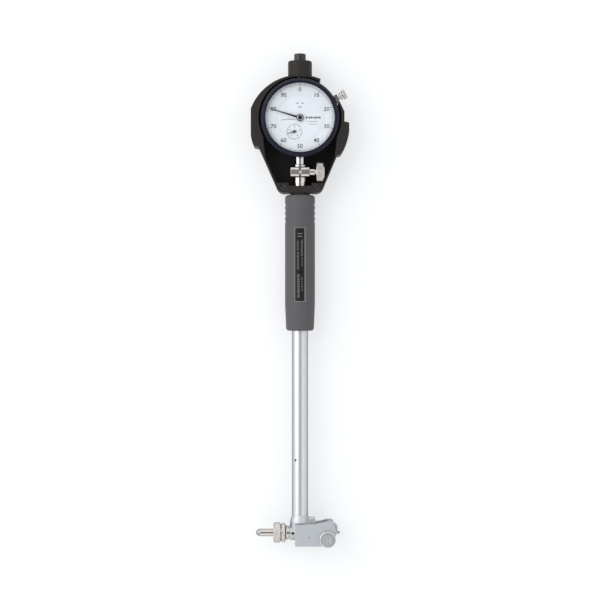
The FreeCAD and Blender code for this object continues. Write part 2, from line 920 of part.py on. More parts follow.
def make_stem_clamp_screw():
    return turned(
        [
            (-clamp_half + 0.3, clamp_screw_r),
            (clamp_half + slide_gap, clamp_screw_r),
            (clamp_half + slide_gap, thumb_collar_r),
            (thumb_left, thumb_collar_r),
            (thumb_left, thumb_r - 0.4),
            (thumb_left + 0.4, thumb_r),
            (thumb_right - thumb_chamfer, thumb_r),
            (thumb_right, thumb_r - thumb_chamfer),
        ],
        "x",
        (clamp_y, clamp_z),
    )


def edge_x(y):
    """Half width of the cover's lower part at a height."""
    return cover_bottom_half + cover_slope * (y - cover_bottom_y)


def cover_outline():
    top_left = dial_y + cover_shoulder
    top_right = cover_bow_y + math.sqrt(cover_bow_r**2 - cover_right**2)
    left_x, left_y = cover_left_foot
    right_x, right_y = cover_right_foot
    low_left = (-edge_x(cover_bottom_y + 1.5), cover_bottom_y + 1.5, 0)
    low_right = (edge_x(cover_bottom_y + 1.5), cover_bottom_y + 1.5, 0)
    inset = 0.3 * cover_corner
    return path_wire(
        (-cover_half, top_left, 0),
        [
            ((0, dial_y + crown_rise, 0), (cover_right, top_right, 0)),
            (cover_right, cover_step_y, 0),
            (cover_half, cover_step_y - foot_slope, 0),
            (cover_half, right_y + right_curve, 0),
            (
                (cover_half - right_curve_sag, right_y + 0.55 * right_curve, 0),
                (right_x + right_foot_ledge, right_y + foot_slope, 0),
            ),
            (right_x, right_y, 0),
            low_right,
            (
                (cover_bottom_half - inset, neck_top + inset - 0.4, 0),
                (cover_bottom_half - cover_corner, neck_top, 0),
            ),
            (cover_corner - cover_bottom_half, neck_top, 0),
            (
                (inset - cover_bottom_half, neck_top + inset - 0.4, 0),
                low_left,
            ),
            (left_x, left_y, 0),
            (left_x - left_foot_ledge, left_y + foot_slope, 0),
            (
                (left_curve_sag - cover_half, left_y + 0.51 * left_curve, 0),
                (-cover_half, left_y + left_curve, 0),
            ),
        ],
    )


def lower_pocket():
    """Hollow round the stem clamp, narrowing into the indicator's round pocket."""
    inset = cover_wall * math.hypot(1, cover_slope)
    low = cover_bottom_y - 4
    high = cover_right_foot[1] - 2
    join = math.radians(pocket_join)
    join_x = pocket_r * math.cos(join)
    join_y = dial_y - pocket_r * math.sin(join)
    half = [(edge_x(low) - inset, low), (edge_x(high) - inset, high), (join_x, join_y)]
    return prism([(-x, y) for x, y in half] + half[::-1], floor_z, cover_front)


def make_cover():
    """Tray of cast aluminium: floor, rim, round pocket for the indicator and a lug over the spindle."""
    tray = slab(cover_outline(), -back_depth, cover_front)
    rear = [edge for edge in tray.Edges if edge.BoundBox.ZMax < -back_depth + 1e-6]
    tray = tray.makeChamfer(0.8, rear)
    lug = rod_y(lug_r, dial_y + pocket_r - 2, lug_top)
    lug = lug.makeFillet(lug_round, ring_edges(lug, "y", lug_top, lug_r))
    tray = tray.fuse(lug)
    far = 2 * cover_half
    start = math.radians(notch_start)
    notch_foot_x = bezel_r + slide_gap
    notch_toe_y = dial_y + cover_right * math.tan(math.radians(notch_toe_turn))
    wedge = prism(
        [
            (0, dial_y),
            (notch_foot_x, dial_y + notch_foot_x * math.tan(math.radians(notch_foot_turn))),
            (cover_right, notch_toe_y),
            (far, notch_toe_y),
            (far, dial_y + far),
            (far * math.cos(start), dial_y + far * math.sin(start)),
        ],
        -back_depth,
        cover_front,
    ).cut(rod_z(case_r + 1.5, -back_depth, cover_front, 0, dial_y))
    cuts = [
        rod_z(pocket_r, floor_z, cover_front + lug_r, 0, dial_y),
        lower_pocket(),
        block(-far, far, neck_top - 1, base_top, floor_z, cover_front),
        rod_y(lug_bore_r, dial_y, lug_top),
        wedge,
    ]
    for side in (-1, 1):
        cuts.append(rod_z(cover_screw_r, -back_depth, floor_z, side * cover_screw_x, cover_screw_y))
    return tray.cut(cuts)


def make_base_block():
    """Block between cover and grip, with the holder through it and two screws to the cover."""
    base = slab(cover_outline(), floor_z, base_front)
    base = base.common(block(-cover_half, cover_half, neck_top, base_top, floor_z, base_front))
    base = base.fuse(rod_y(neck_r, grip_end, neck_top))
    cuts = [
        rod_y(holder_r, grip_end, base_top),
        block(-base_seat_half, base_seat_half, sleeve_start, base_top, -holder_r, base_front),
    ]
    for side in (-1, 1):
        x = side * cover_screw_x
        cuts.append(rod_z(cover_screw_r, floor_z, base_front, x, cover_screw_y))
        cuts.append(rod_z(cover_screw_head_r + slide_gap, cover_screw_head_z, base_front, x, cover_screw_y))
    return base.cut(cuts)


def make_cover_screws():
    top = cover_screw_head_z + cover_screw_head
    screws = []
    for side in (-1, 1):
        x = side * cover_screw_x
        screw = turned(
            [
                (-back_depth + 0.5, cover_screw_r),
                (cover_screw_head_z, cover_screw_r),
                (cover_screw_head_z, cover_screw_head_r),
                (top, cover_screw_head_r),
            ],
            "z",
            (x, cover_screw_y),
        )
        slot = block(-cover_screw_head_r, cover_screw_head_r, -0.4, 0.4, top - 0.8, top)
        slot.rotate(Vec(0, 0, 0), Vec(0, 0, 1), 35 * side)
        slot.translate(Vec(x, cover_screw_y, 0))
        screws.append(screw.cut(slot))
    return Part.makeCompound(screws)


# ---------------------------------------------------------------- dial indicator
def back_screw_places():
    for quarter in range(4):
        angle = math.radians(45 + 90 * quarter)
        yield back_screw_ring * math.cos(angle), dial_y + back_screw_ring * math.sin(angle)


def make_indicator_case():
    case = rod_z(case_r, case_back_z, case_front_z, 0, dial_y)
    case = case.cut(rod_z(case_r - case_wall, case_back_z, case_front_z, 0, dial_y))
    bosses = [rod_z(back_boss_r, case_back_z, plate_z, x, y) for x, y in back_screw_places()]
    bosses = Part.makeCompound(bosses).common(rod_z(case_r, case_back_z, plate_z, 0, dial_y))
    case = case.fuse(bosses.Solids)
    cuts = [
        rod_y(stem_r, dial_y - case_r - 1, dial_y - case_r / 2),
        rod_y(top_bush_r, dial_y + case_r / 2, dial_y + case_r + 1),
    ]
    for x, y in back_screw_places():
        cuts.append(rod_z(back_screw_r, case_back_z, case_back_z + back_screw_depth, x, y))
    return case.cut(cuts)


def make_case_back():
    plate = rod_z(case_r, case_back_z - back_plate, case_back_z, 0, dial_y)
    plate = plate.makeChamfer(0.6, ring_edges(plate, "z", case_back_z - back_plate, case_r))
    holes = [rod_z(back_screw_r, case_back_z - back_plate, case_back_z, x, y) for x, y in back_screw_places()]
    return plate.cut(holes)


def make_case_back_screws():
    under = case_back_z - back_plate
    screws = []
    for x, y in back_screw_places():
        shank = rod_z(back_screw_r, under, case_back_z + back_screw_depth - 0.5, x, y)
        screws.append(shank.fuse(rod_z(back_screw_head_r, under - back_screw_head, under, x, y)))
    return Part.makeCompound(screws)


def make_stem():
    case_low = dial_y - case_r
    inner_end = case_low + case_wall
    shoulder_r = bezel_back_z - free_gap
    stem = turned(
        [
            (stem_end, stem_r - 0.4),
            (stem_end + 0.4, stem_r),
            (case_low - 1.6, stem_r),
            (case_low - 1.6, shoulder_r),
            (case_low - 0.6, shoulder_r),
            (case_low - 0.6, stem_r),
            (inner_end, stem_r),
        ]
    )
    return stem.cut(rod_y(spindle_r + running, stem_end, inner_end))


def make_top_bush():
    low = dial_y + case_r - case_wall
    bush = rod_y(top_bush_r, low, top_bush_end)
    return bush.cut(rod_y(spindle_r + running, low, top_bush_end))


def make_spindle():
    """Round spindle with a rack milled on its left side, in mesh with the rack pinion."""
    spindle = turned([(spindle_end, spindle_r), (spindle_top, spindle_r)])
    # the rack's gap, not its tooth, faces the pinion at rest
    first = counter_axis[1] - (rack_teeth / 2 - 0.5) * rack_pitch
    root = rack_line + 1.2 * gear_module
    tip = rack_line - 0.85 * gear_module
    low = first - rack_pitch
    high = first + rack_teeth * rack_pitch
    back = block(root, 0, low, high, -rack_half, rack_half)
    flat = block(-spindle_r - 1, root, low, high, -spindle_r, spindle_r)
    teeth = []
    for tooth in range(rack_teeth):
        y = first + tooth * rack_pitch
        teeth.append(
            prism(
                [
                    (root, y - 0.27 * rack_pitch),
                    (root, y + 0.27 * rack_pitch),
                    (tip, y + 0.11 * rack_pitch),
                    (tip, y - 0.11 * rack_pitch),
                ],
                -rack_half,
                rack_half,
            )
        )
    return spindle.cut(flat).fuse([back] + teeth)


def make_spindle_contact_point():
    return turned(
        [
            (push_rod_top + touch_gap, 0.9),
            (push_rod_top + 1.0, 1.4),
            (push_rod_top + 1.4, spindle_r),
            (spindle_end, spindle_r),
        ]
    )


def make_spindle_cap():
    cap = rod_y(cap_r, cap_start, cap_top)
    cap = cap.makeFillet(cap_round, ring_edges(cap, "y", cap_top, cap_r))
    return cap.cut(rod_y(spindle_r, cap_start, spindle_top))


def make_bezel():
    """Turning ring on the case: dial seat behind, crystal seat in front."""
    dial_front = dial_low + dial_thick
    corners = [
        (case_r + running, bezel_back_z),
        (bezel_r - 0.6, bezel_back_z),
        (bezel_r, bezel_back_z + 0.6),
        (bezel_r, bezel_edge_z),
        (bezel_top_r, bezel_front_z),
        (crystal_r, bezel_front_z),
        (crystal_r, crystal_z),
        (bezel_lip_r, crystal_z),
        (bezel_lip_r, dial_front),
        (dial_r, dial_front),
        (dial_r, dial_low - slide_gap / 2),
        (case_r + running, dial_low - slide_gap / 2),
    ]
    wire = Part.makePolygon([Vec(r, 0, z) for r, z in corners + [corners[0]]])
    bezel = Part.Face(wire).revolve(Vec(0, 0, 0), Vec(0, 0, 1), 360)
    bezel.translate(Vec(0, dial_y, 0))
    return bezel


def make_crystal():
    return rod_z(crystal_r, crystal_z, crystal_z + crystal_thick, 0, dial_y)


def make_crystal_ring():
    low = crystal_z + crystal_thick
    ring = rod_z(crystal_r, low, bezel_front_z, 0, dial_y)
    return ring.cut(rod_z(bezel_lip_r, low, bezel_front_z, 0, dial_y))


def make_dial_ring():
    high = dial_low + dial_thick
    ring = rod_z(dial_r, dial_low, high, 0, dial_y)
    return ring.cut(rod_z(split_r + running, dial_low, high, 0, dial_y))


def make_dial_centre():
    high = dial_low + dial_thick
    disc = rod_z(split_r, dial_low, high, 0, dial_y)
    feet = [rod_z(dial_foot_r, bridge_top, dial_low, x, dial_y + y) for x, y in pillar_places[:2]]
    holes = [rod_z(arbor_r + free_gap, dial_low, high, x, y) for x, y in ((0, dial_y), counter_axis)]
    return disc.fuse(feet).cut(holes)


# ---------------------------------------------------------------- hands and movement
def hand(x, y, z, thick, length, hub_r, root_half, tip_half, tail, turn):
    blade = prism(
        [
            (-tail, -root_half),
            (0, -root_half),
            (length, -tip_half),
            (length, tip_half),
            (0, root_half),
            (-tail, root_half),
        ],
        z,
        z + thick,
    )
    blade = blade.fuse(rod_z(hub_r, z, z + thick))
    blade = turn_z(blade, turn)
    blade.translate(Vec(x, y, 0))
    return blade


def make_main_pointer():
    pointer = hand(
        0, dial_y, pointer_z, pointer_thick, pointer_length, pointer_hub_r, 0.75, 0.16, 0, pointer_turn
    )
    boss_low = pointer_z - 0.4
    boss = rod_z(pointer_boss_r, boss_low, pointer_z + pointer_boss, 0, dial_y)
    return pointer.fuse(boss).cut(rod_z(arbor_r, boss_low, pointer_z + pointer_boss / 2, 0, dial_y))


def make_counter_pointer():
    x, y = counter_axis
    pointer = hand(x, y, counter_z, counter_thick, counter_length, 1.1, 0.35, 0.12, 1.4, counter_turn)
    return pointer.cut(rod_z(arbor_r, counter_z, counter_z + counter_thick, x, y))


def make_centre_pinion():
    teeth = toothed(
        pinion_teeth,
        gear_module,
        centre_pinion_z,
        centre_pinion_z + centre_pinion_thick,
        0,
        dial_y,
        gear_line_turn + half_turn,
    )
    arbor = rod_z(arbor_r, plate_z + slide_gap, pointer_z + pointer_boss / 2, 0, dial_y)
    return teeth.fuse(arbor)


def make_counter_wheel():
    x, y = counter_axis
    top = wheel_z + wheel_thick
    half_step = half_turn / wheel_teeth
    wheel = toothed(wheel_teeth, gear_module, wheel_z, top, x, y, gear_line_turn + half_step)
    windows = []
    for spoke in range(4):
        window = rod_z(window_r, wheel_z, top, x + window_reach, y)
        windows.append(turn_z(window, 45 + 90 * spoke, x, y))
    return wheel.cut(windows + [rod_z(arbor_r, wheel_z, top, x, y)])


def make_take_up_wheel():
    """Wheel that the hairspring turns, so that the teeth of the train always lean the same way."""
    x, y = take_up_axis
    # half a tooth on from what the pinion shows along the line between the two axes
    pinion_step = 2 * half_turn / pinion_teeth
    teeth_on = 0.5 + (take_up_turn - gear_line_turn - half_turn) / pinion_step
    first_turn = take_up_turn + half_turn + teeth_on * 2 * half_turn / take_up_teeth
    top = wheel_z + wheel_thick
    wheel = toothed(take_up_teeth, gear_module, wheel_z, top, x, y, first_turn)
    collet = rod_z(collet_r, top, hairspring_z + hairspring_height, x, y)
    arbor = rod_z(arbor_r, plate_z + slide_gap, bridge_top, x, y)
    return wheel.fuse([collet, arbor])


def make_hairspring():
    """Flat spiral from the collet to a stud under the bridge: radius grows evenly with the turn."""
    x, y = take_up_axis
    steps = 12 * hairspring_turns
    end_turn = take_up_turn + half_turn
    edges = []
    for inset in (0, hairspring_strip):
        points = []
        for step in range(steps + 1):
            share = step / steps
            radius = hairspring_inner + (hairspring_outer - hairspring_inner) * share + inset
            angle = math.radians(end_turn) - 2 * math.pi * hairspring_turns * (1 - share)
            points.append(Vec(x + radius * math.cos(angle), y + radius * math.sin(angle), hairspring_z))
        curve = Part.BSplineCurve()
        curve.interpolate(points)
        edges.append(curve.toShape())
    inner, outer = edges
    sides = [
        Part.LineSegment(inner.Vertexes[0].Point, outer.Vertexes[0].Point).toShape(),
        Part.LineSegment(inner.Vertexes[-1].Point, outer.Vertexes[-1].Point).toShape(),
    ]
    wire = Part.Wire(Part.__sortEdges__([inner, outer] + sides))
    return Part.Face(wire).extrude(Vec(0, 0, hairspring_height))


def make_rack_pinion():
    x, y = counter_axis
    # a tooth points at the rack, between two of the rack's teeth
    module = rack_pitch / math.pi
    reach = rack_half + 2 * slide_gap
    teeth = toothed(rack_pinion_teeth, module, -reach, reach, x, y, 0)
    arbor = rod_z(arbor_r, cock_z + slide_gap, counter_z + counter_thick, x, y)
    return teeth.fuse(arbor)


def make_movement_plate():
    top = plate_z + plate_thick
    plate = rod_z(case_r - case_wall, plate_z, top, 0, dial_y)
    return plate.cut([rod_z(arbor_r + running, plate_z, top, x, y) for x, y in arbor_places])


def make_movement_pillars():
    top = plate_z + plate_thick
    return Part.makeCompound([rod_z(pillar_r, top, bridge_z, x, dial_y + y) for x, y in pillar_places])


def make_movement_bridge():
    """Bar of pads and arms over the wheels, with the stud that holds the hairspring's outer end."""
    corners = [(x, dial_y + y) for x, y in pillar_places]
    centre = (0, dial_y)
    pads = [rod_z(bridge_pad_r, bridge_z, bridge_top, *place) for place in corners + list(arbor_places)]
    runs = [(corners[0], centre), (corners[1], centre), (corners[2], counter_axis)]
    runs += [(centre, counter_axis), (centre, take_up_axis)]
    arms = [capsule(*start, *end, bridge_arm_half, bridge_z, bridge_top) for start, end in runs]
    bridge = pads[0].fuse(pads[1:] + arms)
    reach = hairspring_outer + hairspring_strip + touch_gap + stud_pin_r
    turn = math.radians(take_up_turn + half_turn)
    stud_x = take_up_axis[0] + reach * math.cos(turn)
    stud_y = take_up_axis[1] + reach * math.sin(turn)
    bridge = bridge.fuse(rod_z(stud_pin_r, hairspring_z, bridge_z, stud_x, stud_y))
    return bridge.cut([rod_z(arbor_r + running, bridge_z, bridge_top, x, y) for x, y in arbor_places])


def make_spindle_guide_pin():
    pin = rod_x(guide_pin_r, 0, guide_pin_end, guide_pin_y)
    return pin.cut(rod_y(spindle_r, guide_pin_y - 2 * guide_pin_r, guide_pin_y + 2 * guide_pin_r))


def make_spindle_guide():
    """Slotted block under the plate; the spindle's pin slides in it."""
    half = guide_pin_r + slide_gap
    low = guide_pin_y - half
    high = low + guide_slot_length
    guide = block(
        guide_rail_left, guide_pin_end, low - guide_rail, high + guide_rail, -half - guide_rail, plate_z
    )
    return guide.cut(block(guide_rail_left, guide_pin_end, low, high, -half, half))


def make_rack_pinion_cock():
    """Bracket under the plate that carries the rear end of the rack pinion."""
    x, y = counter_axis
    top = cock_z + cock_thick
    left = x - cock_reach
    bar = block(left, x + 1.2, y - cock_half, y + cock_half, cock_z, top)
    post = block(left, left + cock_post, y - cock_half, y + cock_half, top, plate_z)
    return bar.fuse(post).cut(rod_z(arbor_r + running, cock_z, top, x, y))


# ---------------------------------------------------------------- bezel clamp
def make_bezel_clamp():
    """Angle bracket on the case, with its upright outside the bezel."""
    foot = block(case_r - free_gap, bracket_reach, -bracket_half, bracket_half, bracket_foot_z, bracket_low)
    upright = block(bezel_r + free_gap, bracket_reach, -bracket_half, bracket_half, bracket_low, bracket_top)
    bracket = foot.fuse(upright).cut(rod_z(case_r, bracket_foot_z, bezel_back_z, 0, 0))
    bracket = bracket.cut(rod_x(bezel_screw_r + running, bezel_r, bracket_reach, 0, bezel_screw_z))
    bracket = turn_z(bracket, clamp_turn)
    bracket.translate(Vec(0, dial_y, 0))
    return bracket


def make_bezel_clamp_screw():
    end = bezel_head_start + bezel_head_length
    screw = turned(
        [
            (bezel_r + slide_gap, bezel_screw_r),
            (bezel_head_start - bezel_neck, bezel_screw_r),
            (bezel_head_start - bezel_neck, bezel_neck_r),
            (bezel_head_start, bezel_neck_r),
            (bezel_head_start, bezel_head_r - 0.4),
            (bezel_head_start + 0.4, bezel_head_r),
            (end - 0.5, bezel_head_r),
            (end, bezel_head_r - 0.5),
        ],
        "x",
        (0, bezel_screw_z),
    )
    screw = turn_z(screw, clamp_turn)
    screw.translate(Vec(0, dial_y, 0))
    return screw


# ---------------------------------------------------------------- the gauge
nodes = {
    "head_body": make_head_body(),
    "guide_stop": make_guide_stop(),
    "crank_pin": make_crank_pin(),
    "bell_crank": make_bell_crank(),
    "contact_rod": make_contact_rod(),
    "contact_ball": Part.makeSphere(ball_r, Vec(ball_x, 0, 0)),
    "contact_bush": make_contact_bush(),
    "anvil_socket": make_anvil_socket(),
    "set_screw": make_set_screw(),
    "spacing_washer": make_spacing_washer(),
    "anvil": make_anvil(),
    "anvil_tip": make_anvil_tip(),
    "anvil_lock_nut": make_anvil_lock_nut(),
    "guide_shoe": make_guide_shoe(),
    "guide_stop_pin": make_guide_stop_pin(),
    "guide_springs": make_guide_springs(),
    "roller_front": make_roller(1),
    "roller_rear": make_roller(-1),
    "roller_pivot_front": make_roller_pivot(1),
    "roller_pivot_rear": make_roller_pivot(-1),
    "stem_tube": make_tube(),
    "push_rod": make_push_rod(),
    "push_rod_guides": make_push_rod_guides(),
    "push_rod_spring": make_push_rod_spring(),
    "grip": make_grip(),
    "label_plate": make_label_plate(),
    "indicator_holder": make_indicator_holder(),
    "stem_clamp_screw": make_stem_clamp_screw(),
    "cover": make_cover(),
    "base_block": make_base_block(),
    "cover_screws": make_cover_screws(),
    "indicator_case": make_indicator_case(),
    "case_back": make_case_back(),
    "case_back_screws": make_case_back_screws(),
    "indicator_stem": make_stem(),
    "top_bush": make_top_bush(),
    "spindle": make_spindle(),
    "spindle_contact_point": make_spindle_contact_point(),
    "spindle_cap": make_spindle_cap(),
    "spindle_guide_pin": make_spindle_guide_pin(),
    "spindle_guide": make_spindle_guide(),
    "bezel": make_bezel(),
    "crystal": make_crystal(),
    "crystal_ring": make_crystal_ring(),
    "dial_ring": make_dial_ring(),
    "dial_centre": make_dial_centre(),
    "main_pointer": make_main_pointer(),
    "counter_pointer": make_counter_pointer(),
    "centre_pinion": make_centre_pinion(),
    "counter_wheel": make_counter_wheel(),
    "take_up_wheel": make_take_up_wheel(),
    "hairspring": make_hairspring(),
    "rack_pinion": make_rack_pinion(),
    "movement_plate": make_movement_plate(),
    "movement_pillars": make_movement_pillars(),
    "movement_bridge": make_movement_bridge(),
    "rack_pinion_cock": make_rack_pinion_cock(),
    "bezel_clamp": make_bezel_clamp(),
    "bezel_clamp_screw": make_bezel_clamp_screw(),
}

os.makedirs("parts", exist_ok=True)
for name, shape in nodes.items():
    placed = shape.copy()
    placed.translate(to_rest)
    placed.exportStep(f"parts/{name}.step")
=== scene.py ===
"""Looks of a dial bore gauge that lies on its back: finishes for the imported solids, and finer pieces.

Lengths of the profiles are millimetres, and mm() turns them into the frame's metres. Pieces are drawn
round places read from the frame: the gauge point (where the measuring axis crosses the stem), the
centres of the dial and of its counter, and the axis of each screw.
"""
import json
import math

import bmesh
import bpy
import numpy as np
from mathutils import Matrix, Vector


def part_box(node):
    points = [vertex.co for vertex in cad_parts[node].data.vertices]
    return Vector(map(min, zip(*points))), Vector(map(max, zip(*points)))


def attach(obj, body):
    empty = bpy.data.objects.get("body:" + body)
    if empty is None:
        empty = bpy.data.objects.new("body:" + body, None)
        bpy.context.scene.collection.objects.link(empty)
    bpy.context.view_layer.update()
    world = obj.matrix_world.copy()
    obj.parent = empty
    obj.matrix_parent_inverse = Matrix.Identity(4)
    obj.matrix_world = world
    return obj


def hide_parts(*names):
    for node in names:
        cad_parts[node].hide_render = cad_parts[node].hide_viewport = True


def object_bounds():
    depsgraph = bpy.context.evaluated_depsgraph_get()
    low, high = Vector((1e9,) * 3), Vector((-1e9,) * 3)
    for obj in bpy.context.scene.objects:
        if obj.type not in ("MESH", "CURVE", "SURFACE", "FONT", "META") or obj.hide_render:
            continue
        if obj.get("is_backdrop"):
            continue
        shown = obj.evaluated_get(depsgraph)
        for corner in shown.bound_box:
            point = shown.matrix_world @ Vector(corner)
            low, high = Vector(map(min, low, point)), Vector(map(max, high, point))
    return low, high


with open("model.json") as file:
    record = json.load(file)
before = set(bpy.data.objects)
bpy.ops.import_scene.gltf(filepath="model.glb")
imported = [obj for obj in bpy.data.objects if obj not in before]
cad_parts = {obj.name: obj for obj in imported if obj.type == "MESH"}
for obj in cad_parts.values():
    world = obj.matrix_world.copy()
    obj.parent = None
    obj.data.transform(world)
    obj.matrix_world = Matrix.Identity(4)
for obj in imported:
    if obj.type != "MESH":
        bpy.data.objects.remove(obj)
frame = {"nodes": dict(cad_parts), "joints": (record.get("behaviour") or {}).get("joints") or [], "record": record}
bpy.context.view_layer.update()
nodes = frame["nodes"]
slot_of = {part["node"]: part["material_slot"] for part in frame["record"]["subparts"]}

TAU = 2 * math.pi


def mm(value):
    """Millimetres as the frame's metres."""
    return value / 1000.0


def middle(node):
    """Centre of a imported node's box."""
    low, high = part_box(node)
    return (low + high) / 2


def top_of(node):
    """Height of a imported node's highest point."""
    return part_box(node)[1].z


# ---------------------------------------------------------------- places read from the frame
stem_axis = Vector((0, 0, middle("stem_tube").z))
gauge_point = Vector((0, middle("contact_ball").y, stem_axis.z))
dial_centre = Vector((0, middle("bezel").y, 0))
counter_centre = Vector((middle("counter_wheel").x, middle("counter_wheel").y, 0))
dial_face = top_of("dial_ring")
lock_screw = Vector((0, middle("stem_clamp_screw").y, middle("stem_clamp_screw").z))


# ---------------------------------------------------------------- meshes
def placed(name, mesh):
    """Object for a mesh, at the origin and unturned."""
    piece = bpy.data.objects.new(name, mesh)
    bpy.context.scene.collection.objects.link(piece)
    return piece


def new_piece(name, vertices, faces, sharp=35.0):
    """Closed mesh from points and faces: doubles merged, normals outwards, smooth below a sharp angle."""
    mesh = bpy.data.meshes.new(name)
    mesh.from_pydata(vertices, [], faces)
    work = bmesh.new()
    work.from_mesh(mesh)
    bmesh.ops.remove_doubles(work, verts=work.verts, dist=1e-7)
    bmesh.ops.dissolve_degenerate(work, edges=work.edges, dist=1e-8)
    bmesh.ops.recalc_face_normals(work, faces=work.faces)
    work.to_mesh(mesh)
    work.free()
    mesh.shade_smooth()
    mesh.set_sharp_from_angle(angle=math.radians(sharp))
    return placed(name, mesh)


def grid_piece(name, points, wrap_rows=False, sharp=35.0):
    """Piece over a grid of points, rows by columns by 3, one quad a cell; the columns always close."""
    rows, columns = points.shape[:2]
    index = np.arange(rows * columns).reshape(rows, columns)
    index = np.hstack([index, index[:, :1]])
    if wrap_rows:
        index = np.vstack([index, index[:1]])
    quads = np.stack([index[:-1, :-1], index[1:, :-1], index[1:, 1:], index[:-1, 1:]], axis=-1)
    return new_piece(name, points.reshape(-1, 3).tolist(), quads.reshape(-1, 4).tolist(), sharp)


def eased(profile, radius, steps=4, closed=False):
    """Profile with its corners eased.

    Each corner c becomes the curve (1-t)^2 a + 2t(1-t) c + t^2 b, where a and b lie on its two sides,
    the easing radius away, or 0.45 of the shorter side. A third number at a corner is its own radius.
    """
    corners = [tuple(corner[:2]) for corner in profile]
    radii = [corner[2] if len(corner) > 2 else radius for corner in profile]
    count = len(corners)
    t = np.linspace(0, 1, steps + 1)[:, None]
    points = []
    for i, corner in enumerate(corners):
        here = np.array(corner, float)
        if not closed and i in (0, count - 1):
            points.append(here[None])
            continue
        back = np.array(corners[i - 1], float) - here
        ahead = np.array(corners[(i + 1) % count], float) - here
        reach = min(radii[i], 0.45 * np.linalg.norm(back), 0.45 * np.linalg.norm(ahead))
        if reach < 1e-4:
            points.append(here[None])
            continue
        a = here + back / np.linalg.norm(back) * reach
        b = here + ahead / np.linalg.norm(ahead) * reach
        points.append((1 - t) ** 2 * a + 2 * t * (1 - t) * here + t**2 * b)
    return np.vstack(points)


def spaced(profile, step):
    """Profile with points added on its sides, so that none is longer than the step."""
    out = [profile[:1]]
    for a, b in zip(profile[:-1], profile[1:]):
        count = max(1, int(np.ceil(np.linalg.norm(b - a) / step)))
        t = np.linspace(0, 1, count + 1)[1:, None]
        out.append(a + (b - a) * t)
    return np.vstack(out)


def lathe(name, profile, along, centre, steps=96, rise=None, closed=False, sharp=35.0):
    """Turned piece. A profile point (s, r) goes to centre + s*along + r*(cos a*side + sin a*up).

    rise(s, r, a) is added to r, as arrays, and makes knurls and coin edges. Lengths in mm.
    """
    along = Vector(along).normalized()
    side = along.cross(Vector((0, 0, 1)))
    side = Vector((1, 0, 0)) if side.length < 1e-6 else side.normalized()
    up = along.cross(side)
    angle = np.linspace(0, TAU, steps, endpoint=False)[None, :]
    s = profile[:, 0:1] + 0 * angle
    r = profile[:, 1:2] + 0 * angle
    if rise is not None:
        r = r + np.where(r > 0, rise(s, r, angle), 0)
    points = (
        np.array(centre)[None, None]
        + mm(s)[..., None] * np.array(along)
        + mm(r * np.cos(angle))[..., None] * np.array(side)
        + mm(r * np.sin(angle))[..., None] * np.array(up)
    )
    return grid_piece(name, points, closed, sharp)


def wave(u):
    """Triangle wave of period 1, from 0 at whole numbers to 1 halfway."""
    return 1 - np.abs(2 * (u - np.floor(u)) - 1)


def window(s, low, high, fade):
    """1 between low and high, falling to 0 over the fade on either side."""
    return np.clip((s - low) / fade, 0, 1) * np.clip((high - s) / fade, 0, 1)


def prisms(name, shapes, z0, z1):
    """Closed prisms: shapes is (count, corners, 2) in metres, each raised from z0 to z1."""
    shapes = np.asarray(shapes, float)
    count, corners = shapes.shape[:2]
    low = np.concatenate([shapes, np.full((count, corners, 1), z0)], axis=2)
    high = np.concatenate([shapes, np.full((count, corners, 1), z1)], axis=2)
    vertices = np.concatenate([low, high], axis=1).reshape(-1, 3)
    faces = []
    for first in range(0, count * 2 * corners, 2 * corners):
        faces.append([first + i for i in range(corners)][::-1])
        faces.append([first + corners + i for i in range(corners)])
        for i in range(corners):
            j = (i + 1) % corners
            faces.append([first + i, first + j, first + corners + j, first + corners + i])
    return new_piece(name, vertices.tolist(), faces)


def ray_bars(turns, inner, outer, half, centre):
    """Bars that point at a centre: from radius inner to outer at each turn (radians, clockwise from +Y)."""
    turns, inner, outer, half = (np.broadcast_to(v, np.shape(turns)) for v in (turns, inner, outer, half))
    out = np.stack([np.sin(turns), np.cos(turns)], axis=-1)[:, None]
    across = np.stack([np.cos(turns), -np.sin(turns)], axis=-1)[:, None]
    radius = np.stack([inner, outer, outer, inner], axis=-1)[..., None]
    offset = np.stack([-half, -half, half, half], axis=-1)[..., None]
    return np.array(centre)[None, None, :2] + mm(out * radius + across * offset)


def boxes(rows, centre):
    """Flat boxes (x, y, width, height) in mm from a centre, as prism outlines."""
    rows = np.asarray(rows, float)
    x, y, w, h = rows.T / 2000 * np.array([2, 2, 1, 1])[:, None]
    corners = np.stack([[x - w, y - h], [x + w, y - h], [x + w, y + h], [x - w, y + h]])
    return np.moveaxis(corners, [0, 1, 2], [1, 2, 0]) + np.array(centre)[None, None, :2]


def words(name, items, z, thick):
    """Raised numbers: items are (text, x, y, height) with places in metres and height in mm."""
    work = bmesh.new()
    for text, x, y, height in items:
        curve = bpy.data.curves.new(name, "FONT")
        curve.body = text
        curve.size = mm(height) / 0.7
        curve.align_x = "CENTER"
        curve.align_y = "CENTER"
        curve.extrude = thick / 2
        curve.offset = mm(height) * 0.018
        curve.resolution_u = 3
        holder = bpy.data.objects.new(name, curve)
        mesh = bpy.data.meshes.new_from_object(holder)
        mesh.transform(Matrix.Translation((x, y, z + thick / 2)))
        work.from_mesh(mesh)
        bpy.data.objects.remove(holder)
        bpy.data.curves.remove(curve)
        bpy.data.meshes.remove(mesh)
    mesh = bpy.data.meshes.new(name)
    bmesh.ops.remove_doubles(work, verts=work.verts, dist=1e-7)
    work.to_mesh(mesh)
    work.free()
    return placed(name, mesh)


